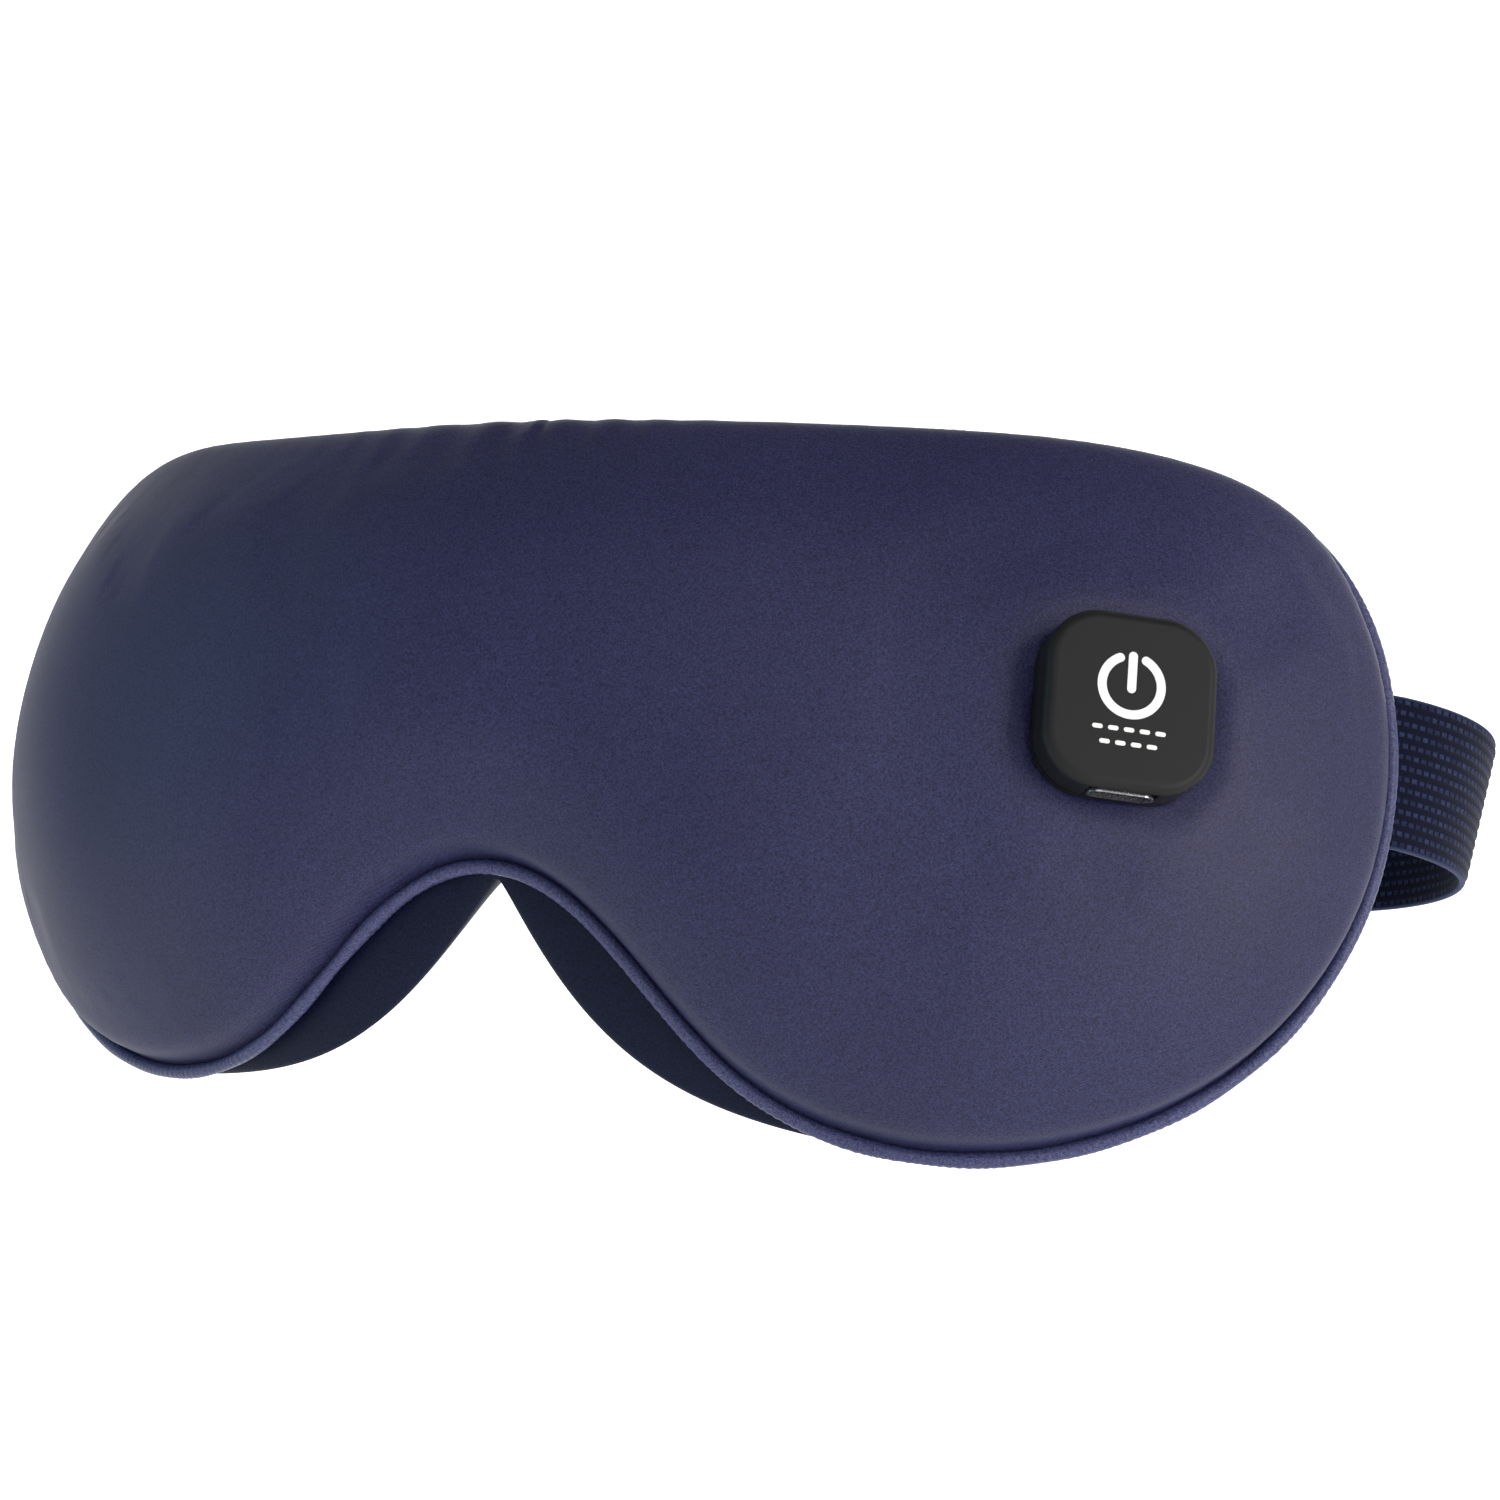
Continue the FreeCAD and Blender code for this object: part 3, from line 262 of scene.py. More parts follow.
def elasticMaterial():
    # knitted elastic: matt yarn in rows along its length, with short paler floats over the rubber threads
    material, tree, shader = newMaterial("knittedElastic", {
        "Roughness": 0.75, "Sheen Weight": 0.08, "Sheen Roughness": 0.5, "Specular IOR Level": 0.08})
    uv = addNode(tree, "ShaderNodeUVMap", {"uv_map": "stripUV"}).outputs["UV"]
    drawn = addNode(tree, "ShaderNodeMapping", {"in:Scale": (2.0, 1.0, 1.0)},
                    {"Vector": uv}).outputs["Vector"]
    dashes = addNode(tree, "ShaderNodeTexBrick", {
        "in:Scale": 1.0, "in:Mortar Size": 0.6, "in:Mortar Smooth": 0.5, "in:Brick Width": 2.5,
        "in:Row Height": elasticLook["rib"], "in:Color1": hexColour("#FFFFFF"),
        "in:Color2": hexColour("#B0B0B0"), "in:Mortar": hexColour("#000000")},
        {"Vector": drawn}).outputs["Color"]
    yarn = addNode(tree, "ShaderNodeTexNoise", {"in:Scale": 3.0, "in:Detail": 3.0},
                   {"Vector": uv}).outputs["Fac"]
    spotted = addNode(tree, "ShaderNodeMath", {"operation": "MULTIPLY"},
                      {"0": dashes, "1": yarn}).outputs["Value"]
    knit = ramp(tree, spotted, 0.05, 0.75, hexColour(elasticLook["deep"]), hexColour(elasticLook["lit"]))
    # the lighter selvedge along both sides
    across = addNode(tree, "ShaderNodeSeparateXYZ", {}, {"Vector": uv}).outputs["Y"]
    beside = addNode(tree, "ShaderNodeMath", {"operation": "ABSOLUTE"}, {"0": across}).outputs["Value"]
    edge = addNode(tree, "ShaderNodeMapRange",
                   {"in:1": elasticLook["selvedge"], "in:2": elasticLook["selvedge"] + 0.4},
                   {"Value": beside}).outputs["Result"]
    colour = addNode(tree, "ShaderNodeMix",
                     {"data_type": "RGBA", "in:7": hexColour(elasticLook["edge"])},
                     {"0": edge, "6": knit}).outputs[2]
    tree.links.new(colour, shader.inputs["Base Color"])
    bump = addNode(tree, "ShaderNodeBump", {"in:Strength": 0.5, "in:Distance": 0.0003},
                   {"Height": spotted}).outputs["Normal"]
    tree.links.new(bump, shader.inputs["Normal"])
    return material


elastic = elasticMaterial()


def plasticMaterial(name, colour, roughness, grain=0.25, bump=0.04, extra=None):
    # moulded plastic: even colour and a highlight that a fine spark-eroded texture softens
    values = {"Roughness": roughness, "IOR": 1.49, "Base Color": hexColour(colour)}
    material, tree, shader = newMaterial(name, dict(values, **(extra or {})))
    coords = addNode(tree, "ShaderNodeTexCoord").outputs["Object"]
    noise = addNode(tree, "ShaderNodeTexNoise", {"in:Scale": 1 / (grain * mm), "in:Detail": 2.0},
                    {"Vector": coords}).outputs["Fac"]
    pitted = addNode(tree, "ShaderNodeBump", {"in:Strength": bump, "in:Distance": 0.0001},
                     {"Height": noise})
    tree.links.new(pitted.outputs["Normal"], shader.inputs["Normal"])
    shade = addNode(tree, "ShaderNodeMapRange", {"in:3": roughness - 0.05, "in:4": roughness + 0.06},
                    {"Value": noise}).outputs["Result"]
    tree.links.new(shade, shader.inputs["Roughness"])
    return material


# rubbery coat over ABS: near black, and too dull to mirror a lamp
softTouch = plasticMaterial("softTouchAbs", "#141516", 0.5, extra={"Specular IOR Level": 0.3})
# screen-printed ink: flat white
printInk = plasticMaterial("whitePrint", "#F4F4F4", 0.5)
# nickel-plated steel: a bright rim round the port
nickel = plasticMaterial("nickelPlate", "#C9CACD", 0.25, extra={"Metallic": 1.0})
# moulded acetal: waxy gloss on the ring and the slider
slidePlastic = plasticMaterial("mouldedAcetal", "#191C2C", 0.35)
# the inner pieces, each by its own colour and gloss: dull felt and foam, shiny film and solder mask
otherLooks = dict(
    wadding=("polyesterWadding", "#D8D6D0", 0.9), carrier_felt=("needleFelt", "#3A3A3E", 0.9),
    foam=("closedFoam", "#8F8F97", 0.85), heating_film=("polyimideFilm", "#B5651D", 0.3),
    sensor=("epoxyBead", "#1A1A1A", 0.3), lead=("siliconeLead", "#A32A2A", 0.5),
    board=("solderMask", "#1E5B35", 0.35), chip=("mouldedEpoxy", "#202020", 0.6),
    battery=("pouchFoil", "#B9BCC2", 0.35), seal=("siliconeSeal", "#1A1A1A", 0.6))


def dressNodes():
    # every CAD node, seen or hidden, gets the finished material of its slot
    finished = dict(module_black=softTouch, print_white=printInk, metal=nickel, slider_plastic=slidePlastic,
                    satin=satin, back_satin=shadedBackSatin, piping=litEdgeSatin, elastic=slidePlastic)
    for slot, (name, colour, roughness) in otherLooks.items():
        finished[slot] = plasticMaterial(name, colour, roughness)
    slots = {item["node"]: item["material_slot"] for item in frame["record"]["subparts"]}
    for name, node in frame["nodes"].items():
        if not node.data.materials:
            node.data.materials.append(finished[slots[name]])
        for index in range(len(node.data.materials)):
            node.data.materials[index] = finished[slots[name]]


dressNodes()
print("materials ready")

# the control module's own frame: its place on the pattern, and how far it turns out and tilts up
moduleTurn = dict(station=84.4, height=9.2, level=11.2, turn=4.0, tilt=5.0)


def moduleAxes():
    heading = moduleTurn["station"] / mask["bendRadius"] + math.radians(moduleTurn["turn"])
    tilt = math.radians(moduleTurn["tilt"])
    right = Vector((math.cos(heading), math.sin(heading), 0))
    level = math.cos(tilt)
    outward = Vector((math.sin(heading) * level, -math.cos(heading) * level, math.sin(tilt)))
    foot = bent(moduleTurn["station"], moduleTurn["height"], moduleTurn["level"])
    return foot, np.array([right, outward.cross(right), outward])


moduleFoot, moduleFrame = moduleAxes()


def toModule(points):
    return (points - moduleFoot) @ moduleFrame.T


def fromModule(local):
    return moduleFoot + local @ moduleFrame


def roundedSquareDistance(x, y, halfWidth, halfLength, corner):
    dx = np.abs(x) - (halfWidth - corner)
    dy = np.abs(y) - (halfLength - corner)
    outside = np.hypot(np.maximum(dx, 0), np.maximum(dy, 0))
    return outside + np.minimum(np.maximum(dx, dy), 0) - corner


def discGrid(columns, rows):
    # a square grid pressed onto a unit disc
    u, v = np.meshgrid(np.linspace(-1, 1, columns), np.linspace(-1, 1, rows))
    x = u * np.sqrt(1 - v * v / 2)
    y = v * np.sqrt(1 - u * u / 2)
    return x, y


def crowded(radius, crowd):
    return (1 - crowd) * radius + crowd * np.sin(np.pi / 2 * np.clip(radius, 0, 1))


def ontoPattern(x, y, outline, crowd, typical=0.84):
    # spreads the disc over the pattern inside a closed outline, with its rows crowded to the edge
    radius = crowded(np.hypot(x, y), crowd)
    theta = np.arctan2(y, x)
    ox = outline[:, 0] / mask["halfWidth"]
    oz = (outline[:, 1] - mask["middle"]) / mask["halfHeight"]
    angles = np.arctan2(oz, ox)
    order = np.argsort(angles)
    reach = np.interp(theta, angles[order], np.hypot(ox, oz)[order], period=2 * np.pi)
    stretched = radius * (typical + (reach - typical) * radius ** 2)
    return (mask["halfWidth"] * stretched * np.cos(theta),
            mask["middle"] + mask["halfHeight"] * stretched * np.sin(theta))


def fullness(s, z, edgePower, roundPower, alongPower, endPower):
    # 0 at the seam to 1 in the middle, steeper at the edge for a higher power
    low, high = crossings(s)
    across = np.abs(2 * z - high - low) / np.maximum(high - low, 1e-6)
    along = np.abs(s) / seamEnd
    return (np.maximum(0, 1 - np.minimum(1, across) ** edgePower) ** roundPower
            * np.maximum(0, 1 - along ** alongPower) ** endPower)


def seamDistance(s, z):
    # distance to the seam and how far round it the nearest point lies, both in millimetres
    distance = np.empty(len(s))
    around = np.empty(len(s))
    batch = 4000
    for start in range(0, len(s), batch):
        part = slice(start, start + batch)
        apart = np.hypot(s[part, None] - seam[:, 0], z[part, None] - seam[:, 1])
        nearest = apart.argmin(axis=1)
        distance[part] = apart[np.arange(len(nearest)), nearest]
        around[part] = seamTravel[nearest]
    return distance, around


def seamPoint(around):
    return np.stack([np.interp(around, seamTravel, closedSeam[:, axis]) for axis in (0, 1)], 1)


# the front cover, in millimetres on the pattern: edge and crown, then how the loose cloth swells and hangs;
# a far corner is its station, height and reach along and up
front = dict(coarse=(77, 41), finer=3, crowd=0.75, edgeLevel=-0.5, ditch=1.5, roll=2.9, turnIn=0.7, lift=13.0,
             crownStart=0.3, crownReach=2.4, edgePower=2.7, alongPower=5.5, roundPower=0.5, slackRound=0.3,
             endPower=0.42, slackEnd=0.34, backing=1.2, floor=3.2, heldEdge=2.0, heldReach=9.0, swell=0.6,
             swellCap=0.4, hang=1.3, hangReach=2.4, cornerHang=4.4, farUpper=(-100, 34, 36, 24),
             farSag=0.3, farLower=(-118, -24, 26, 20), slackAlong=0.75, slackStart=0.35, slackReach=0.5)


def slackness(s, z):
    # 0 along the top and far end, where the pad overhangs its seam, to 1 below and beside the module
    slope = front["slackAlong"] * s / mask["halfWidth"] - z / mask["halfHeight"]
    return smooth((slope + front["slackStart"]) / front["slackReach"])


def nearSpot(s, z, spot):
    # 1 at a spot on the pattern, fading round it
    station, height, along, up = spot
    return np.exp(-((s - station) / along) ** 2 - ((z - height) / up) ** 2)


cloth = dict(frames=16, quality=5, mass=0.12, stretch=12, shear=4, bend=0.4, shrink=-0.02, pressure=4)


def settleCloth(points, rows, columns, pins):
    # lets a slightly loose cloth grid swell under pressure, held where pins is 1
    piece = meshObject("settling", points, gridFaces(rows, columns))
    group = piece.vertex_groups.new(name="held")
    for index, weight in enumerate(pins):
        group.add([index], float(weight), "REPLACE")
    layer = piece.modifiers.new("cloth", "CLOTH")
    settings = layer.settings
    settings.quality = cloth["quality"]
    settings.mass = cloth["mass"]
    settings.tension_stiffness = cloth["stretch"]
    settings.compression_stiffness = cloth["stretch"]
    settings.shear_stiffness = cloth["shear"]
    settings.bending_stiffness = cloth["bend"]
    settings.shrink_min = cloth["shrink"]
    settings.use_pressure = True
    settings.uniform_pressure_force = cloth["pressure"]
    settings.vertex_group_mass = "held"
    settings.effector_weights.gravity = 0
    layer.collision_settings.use_collision = False
    layer.point_cache.frame_start = 1
    layer.point_cache.frame_end = cloth["frames"]
    scene = bpy.context.scene
    for frameNumber in range(1, cloth["frames"] + 1):
        scene.frame_set(frameNumber)
    graph = bpy.context.evaluated_depsgraph_get()
    swollen = piece.evaluated_get(graph).to_mesh()
    moved = np.empty(len(points) * 3)
    swollen.vertices.foreach_get("co", moved)
    scene.frame_set(1)
    bpy.data.objects.remove(piece)
    return moved.reshape(-1, 3)


def coverShape(columns, rows):
    x, y = discGrid(columns, rows)
    s, z = ontoPattern(x, y, seam, front["crowd"])
    s, z = s.ravel(), z.ravel()
    distance, around = seamDistance(s, z)
    rise = np.maximum(0, distance - front["ditch"])
    # a short steep turn beside the rolled edge, then a broad crown
    turned = front["roll"] * (1 - np.exp(-rise / front["turnIn"]))
    # fuller where the pad overhangs its top and far end, slacker below and beside the module
    slack = slackness(s, z)
    crown = fullness(s, z, front["edgePower"], front["roundPower"] + front["slackRound"] * slack,
                     front["alongPower"], front["endPower"] + front["slackEnd"] * slack)
    crown *= smooth((distance - front["crownStart"]) / front["crownReach"])
    crown *= 1 - front["farSag"] * nearSpot(s, z, front["farLower"])
    n = front["edgeLevel"] + turned + (front["lift"] - front["roll"]) * crown
    # the swollen cloth hangs out past its seam along the top and at the far upper corner
    hang = front["hang"] * (1 - slack) + front["cornerHang"] * nearSpot(s, z, front["farUpper"])
    hang *= (distance / front["hangReach"]) * np.exp(1 - distance / front["hangReach"])
    away = (seamPoint(around) - np.stack([s, z], 1)) / np.maximum(distance, 0.01)[:, None]
    return s + away[:, 0] * hang, z + away[:, 1] * hang, n, distance, around


# the module's base in the cloth, and how the cloth goes in under its flange and swells up again round it
dimple = dict(halfWidth=11.3, halfLength=11.75, corner=7.0, start=0.3, reach=4.5, collar=1.1, collarReach=6.5,
              under=0.12, pit=5.6, pitStart=0.8, pitReach=0.5, backAway=20.0)


def intoDimple(points):
    # clamped under the module's flange, down round its base and up again outside it
    local = toModule(points) / mm
    gap = roundedSquareDistance(local[:, 0], local[:, 1], dimple["halfWidth"], dimple["halfLength"],
                                dimple["corner"])
    near = local[:, 2] > -dimple["backAway"]
    hold = np.where(near, 1 - smooth((gap - dimple["start"]) / dimple["reach"]), 0)
    collar = dimple["collar"] * np.exp(-((gap - dimple["reach"]) / dimple["collarReach"]) ** 2)
    pit = dimple["pit"] * smooth((-dimple["pitStart"] - gap) / dimple["pitReach"])
    level = local[:, 2] + np.where(near, collar, 0)
    local[:, 2] = level * (1 - hold) - hold * (dimple["under"] + pit)
    return fromModule(local * mm), hold


def upsampled(values, rows, columns, factor):
    # a coarse grid's values, carried smoothly to a grid that is finer by a factor
    grid = values.reshape(rows, columns, -1)
    along = np.linspace(0, columns - 1, factor * (columns - 1) + 1)
    across = np.linspace(0, rows - 1, factor * (rows - 1) + 1)
    low = np.minimum(along.astype(int), columns - 2)
    share = smooth(along - low)[None, :, None]
    wide = grid[:, low] * (1 - share) + grid[:, low + 1] * share
    low = np.minimum(across.astype(int), rows - 2)
    share = smooth(across - low)[:, None, None]
    return (wide[low] * (1 - share) + wide[low + 1] * share).reshape(-1, grid.shape[2])


def swelling():
    # how far the loose cloth moves off its pattern level, on the coarse grid
    columns, rows = front["coarse"]
    s, z, n, distance, around = coverShape(columns, rows)
    points, hold = intoDimple(bent(s, z, n))
    free = smooth((distance - front["heldEdge"]) / front["heldReach"])
    pins = np.clip(np.maximum(1 - free, hold * 1.2), 0, 1)
    settled = settleCloth(points, rows, columns, pins)
    outward = bent(s, z, n + 1) - bent(s, z, n)
    outward /= np.linalg.norm(outward, axis=1)[:, None]
    moved = ((settled - points) * outward).sum(axis=1) / mm
    loose = (moved - moved.mean()).reshape(rows, columns)
    # wrinkles narrower than the grid can carry are smoothed away
    for _ in range(2):
        padded = np.pad(loose, 1, mode="edge")
        beside = padded[:-2, 1:-1] + padded[2:, 1:-1] + padded[1:-1, :-2] + padded[1:-1, 2:]
        loose = (4 * loose + beside) / 8
    loose = front["swell"] * front["swellCap"] * np.tanh(loose.ravel() / front["swellCap"])
    return loose * (1 - pins)


gathers = dict(short=5.1, fine=2.7, long=8.3, shortDepth=0.1, fineDepth=0.04, longDepth=0.5, topReach=26)


def puckers(distance, around):
    # gathers where the cover is sewn to its edge, deepest at the top middle
    where = around[:, None]
    turns = 2 * np.pi * around
    short = np.sin(turns / gathers["short"] + 2.2 * waves(where, 33.0, 21))
    short *= 0.5 + 0.5 * waves(where, 25.0, 22)
    fine = np.sin(turns / gathers["fine"] + 2.0 * waves(where, 17.0, 23))
    fade = smooth(distance / 1.6) * np.exp(-distance / 4.5)
    top = (np.exp(-(around / gathers["topReach"]) ** 2)
           + np.exp(-((around - seamLength) / gathers["topReach"]) ** 2))
    long = np.sin(turns / gathers["long"] + 1.5 * waves(where, 40.0, 24))
    long *= np.exp(-distance / 9.0) * smooth(distance / 2)
    return (gathers["shortDepth"] * short * fade + gathers["fineDepth"] * fine * fade
            + gathers["longDepth"] * top * long)


def frontCover():
    coarseColumns, coarseRows = front["coarse"]
    factor = front["finer"]
    columns, rows = factor * (coarseColumns - 1) + 1, factor * (coarseRows - 1) + 1
    s, z, n, distance, around = coverShape(columns, rows)
    unevenness = 0.1 * waves(np.stack([s, z], 1), 46.0, 9) * smooth(distance / 12)
    n = n + puckers(distance, around) + unevenness
    n = n + upsampled(swelling(), coarseRows, coarseColumns, factor)[:, 0]
    points = intoDimple(bent(s, z, n))[0]
    # closed behind by the backing that the wadding lies on
    floor = np.minimum(front["floor"], np.maximum(front["edgeLevel"], n - front["backing"]))
    behind = bent(s, z, floor)
    faces = gridFaces(rows, columns)
    faces += [tuple(i + len(points) for i in reversed(f)) for f in faces]
    onRim = np.zeros((rows, columns), bool)
    onRim[[0, -1]] = True
    onRim[:, [0, -1]] = True
    behind[onRim.ravel()] = points[onRim.ravel()]
    piece = meshObject("frontCoverPad", np.vstack([points, behind]), faces)
    welded(piece, 0.005)
    piece.data.materials.append(satin)
    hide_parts("front_cover", "front_wadding")
    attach(piece, "mask")


frontCover()
print("front cover ready")

back = dict(columns=200, rows=110, crowd=0.75, depth=6.3, edgeLevel=-3.2, frontLevel=-1.4, drawnIn=0.5,
            flapReach=19.5, flapEnd=62, flapTop=-0.37, flapLow=-1.01, flapPower=1.15, eyeStation=33.0,
            eyeHeight=6.0, cupDepth=5.5, cupWidth=21.0, cupHeight=15.0)


def flapBottom(s):
    # the flaps' free edge, from the bridge down to the bottom of the mask
    share = 1 - np.exp(-(np.abs(s) / back["flapReach"]) ** back["flapPower"])
    return mask["halfHeight"] * (back["flapTop"] + (back["flapLow"] - back["flapTop"]) * share)


def backOutline():
    # the seam, let out below the arch into the nose flaps and drawn in elsewhere
    inward = np.array([0.0, mask["middle"]]) - seam
    inward /= np.linalg.norm(inward, axis=1)[:, None]
    drawn = seam + inward * back["drawnIn"]
    lower = (np.abs(seam[:, 0]) < back["flapEnd"]) & (seam[:, 1] < 0)
    drawn[lower, 1] = np.minimum(seam[lower, 1] + 0.2, flapBottom(seam[lower, 0]))
    return drawn


def backPad():
    # a padded face with a hollow for each eye, thinning to its edge
    rows, columns = back["rows"], back["columns"]
    x, y = discGrid(columns, rows)
    s, z = ontoPattern(x, y, backOutline(), back["crowd"])
    radius = crowded(np.hypot(x, y), back["crowd"])
    rounded = np.sqrt(np.maximum(0, 1 - radius ** 6))
    puff = np.maximum(0, 1 - radius ** 3) ** 0.6 * np.maximum(0, 1 - (np.abs(s) / seamEnd) ** 5) ** 0.5
    cup = back["cupDepth"] * np.exp(-(((np.abs(s) - back["eyeStation"]) / back["cupWidth"]) ** 2
                                      + ((z - back["eyeHeight"]) / back["cupHeight"]) ** 2) ** 1.5)
    backLevel = back["edgeLevel"] + (cup - back["depth"]) * puff
    frontLevel = back["edgeLevel"] + (back["frontLevel"] - back["edgeLevel"]) * rounded
    behind = bent(s.ravel(), z.ravel(), backLevel.ravel())
    before = bent(s.ravel(), z.ravel(), frontLevel.ravel())
    count = rows * columns
    points = np.vstack([behind, before])
    faces = [tuple(reversed(f)) for f in gridFaces(rows, columns)]
    faces += [tuple(i + count for i in f) for f in gridFaces(rows, columns)]
    piece = meshObject("backPadCloth", points, faces)
    welded(piece, 0.01)
    piece.data.materials.append(shadedBackSatin)
    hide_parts("back_cover", "nose_flap_right", "nose_flap_left", "eye_foam_right", "eye_foam_left")
    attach(piece, "mask")


backPad()
print("back pad ready")

piping = dict(rings=2600, around=14, radius=1.05, gather=1.25, depth=0.05, tuckIn=1.4)


def tubeAlong(path, radiusAt, around):
    # a tube round a closed path of points, its rings square to it
    ahead = np.roll(path, -1, axis=0) - np.roll(path, 1, axis=0)
    ahead /= np.linalg.norm(ahead, axis=1)[:, None]
    side = np.cross(ahead, np.array([0.0, -1.0, 0.0]))
    side /= np.linalg.norm(side, axis=1)[:, None]
    out = np.cross(side, ahead)
    angles = np.linspace(0, 2 * np.pi, around, endpoint=False)
    points = []
    for angle in angles:
        radius = radiusAt(angle)
        points.append(path + (np.cos(angle) * side + np.sin(angle) * out) * radius[:, None])
    return np.stack(points, axis=1)


def pipingPiece():
    where = np.linspace(0, seamLength, piping["rings"], endpoint=False)
    s, z = seamPoint(where).T
    path = bent(s, z, -piping["tuckIn"] * (1 - slackness(s, z)))
    wander = waves(where[:, None], 9.0, 3)

    def radiusAt(angle):
        crease = np.sin(2 * np.pi * where / piping["gather"] + 1.6 * wander + 0.5 * np.sin(angle))
        strength = 0.6 + 0.4 * waves(np.stack([where, np.full_like(where, 4 * angle)], 1), 14.0, 5)
        slow = waves(where[:, None], 18.0, 8)
        return (piping["radius"] + piping["depth"] * (crease * strength + slow)) * mm

    points = tubeAlong(path, radiusAt, piping["around"])
    faces = gridFaces(piping["rings"], piping["around"], closedRows=True, closedColumns=True)
    piece = meshObject("rolledEdge", points.reshape(-1, 3), faces)
    piece.data.materials.append(litEdgeSatin)
    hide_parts("edge_piping")
    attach(piece, "mask")


pipingPiece()
print("piping ready")

stitchLook = dict(pitch=1.9, length=1.6, gauge=0.34, twist=0.16667)


def threadMaterial():
    # spun polyester thread: a little paler than the elastic, with a soft gloss and a fine twist
    material, tree, shader = newMaterial("sewingThread", {"Roughness": 0.45, "Sheen Weight": 0.2})
    coords = addNode(tree, "ShaderNodeTexCoord").outputs["Object"]
    twist = addNode(tree, "ShaderNodeTexNoise",
                    {"in:Scale": 1 / (stitchLook["twist"] * mm), "in:Detail": 2.0}, {"Vector": coords})
    colour = ramp(tree, twist.outputs["Fac"], 0.3, 0.7, hexColour("#232A48"), hexColour("#3D4668"))
    tree.links.new(colour, shader.inputs["Base Color"])
    return material


def stitchTree():
    # lays one raised stitch on each step of a line
    tree = bpy.data.node_groups.new("stitchRun", "GeometryNodeTree")
    for label, kind in (("Line", "Geometry"), ("Pitch", "Float"), ("Size", "Vector"), ("Thread", "Material")):
        tree.interface.new_socket(name=label, in_out="INPUT", socket_type="NodeSocket" + kind)
    tree.interface.new_socket(name="Stitches", in_out="OUTPUT", socket_type="NodeSocketGeometry")
    given = addNode(tree, "NodeGroupInput").outputs
    curve = addNode(tree, "GeometryNodeMeshToCurve", {}, {"Mesh": given["Line"]}).outputs["Curve"]
    stops = addNode(tree, "GeometryNodeResampleCurve", {"mode": "LENGTH"},
                    {"Curve": curve, "Length": given["Pitch"]}).outputs["Curve"]
    tangent = addNode(tree, "GeometryNodeInputTangent").outputs["Tangent"]
    turned = addNode(tree, "FunctionNodeAlignRotationToVector", {"axis": "X"}, {"Vector": tangent})
    bead = addNode(tree, "GeometryNodeMeshUVSphere", {"in:Segments": 10, "in:Rings": 6, "in:Radius": 0.5})
    placed = addNode(tree, "GeometryNodeInstanceOnPoints", {}, {
        "Points": stops, "Instance": bead.outputs["Mesh"], "Rotation": turned.outputs["Rotation"],
        "Scale": given["Size"]}).outputs["Instances"]
    solid = addNode(tree, "GeometryNodeRealizeInstances", {}, {"Geometry": placed}).outputs["Geometry"]
    dyed = addNode(tree, "GeometryNodeSetMaterial", {}, {"Geometry": solid, "Material": given["Thread"]})
    addNode(tree, "NodeGroupOutput", {}, {"Stitches": dyed.outputs["Geometry"]})
    return tree


thread = threadMaterial()
stitches = stitchTree()


def sewn(name, lines, body):
    # stitches along polylines given in millimetres
    vertices = [tuple(np.array(p) * mm) for line in lines for p in line]
    edges = []
    start = 0
    for line in lines:
        edges += [(start + i, start + i + 1) for i in range(len(line) - 1)]
        start += len(line)
    mesh = bpy.data.meshes.new(name)
    mesh.from_pydata(vertices, edges, [])
    piece = bpy.data.objects.new(name, mesh)
    bpy.context.scene.collection.objects.link(piece)
    layer = piece.modifiers.new("stitches", "NODES")
    values = {"Pitch": stitchLook["pitch"] * mm,
              "Size": (stitchLook["length"] * mm, stitchLook["gauge"] * mm, stitchLook["gauge"] * mm),
              "Thread": thread}
    layer.node_group = stitches
    for socket in stitches.interface.items_tree:
        if socket.in_out == "INPUT" and socket.name in values:
            layer[socket.identifier] = values[socket.name]
    applied(piece)
    piece.data.polygons.foreach_set("use_smooth", [True] * len(piece.data.polygons))
    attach(piece, body)


def acrossBand(centre, face, up, along, lift, halfWidth, steps=(-1.0, 1.0)):
    # rows across a band, and the two slanting rows between them
    base = centre + face * lift
    rows = [[base + along * step + up * halfWidth * share for share in (-1, 1)] for step in steps]
    slants = [[rows[0][0], rows[-1][1]], [rows[0][1], rows[-1][0]]]
    return rows + slants


strap = dict(width=22.0, gauge=1.2, returnGauge=1.0, height=10.0, drop=4.0, lean=9.0, tuck=9.0, level=3.1,
             leadIn=12.0, leadSteps=6, radius=23.0, ringSpan=7.0, ribs=14, ridge=0.08, wireRadius=1.0,
             sliderBar=1.2, fit=0.1, layerGap=0.3, joinShare=0.45, tail=11.0)


def strapStops(side, leadIn, radius, steps=48):
    # x, y, turn and share of the bend, from the strap's sewn end to the run behind the head
    station = mask["halfWidth"] - strap["tuck"]
    angle = station / mask["bendRadius"]
    foot = bent(station, strap["height"], -strap["level"]) / mm
    heading = np.array([math.cos(angle), math.sin(angle), 0])
    corner = foot + heading * leadIn
    centre = corner + np.array([-heading[1], heading[0], 0]) * radius
    turns = np.linspace(angle, math.pi, steps + 1)
    arc = [(centre[0] + radius * math.sin(t), centre[1] - radius * math.cos(t), t) for t in turns]
    count = strap["leadSteps"]
    lead = [(*(foot + heading * leadIn * k / count)[:2], angle) for k in range(count)]
    stops = [(x, y, t, 0.0) for x, y, t in lead]
    stops += [(x, y, t, i / steps) for i, (x, y, t) in enumerate(arc)]
    return [(side * x, y, side * t, share) for x, y, t, share in stops]


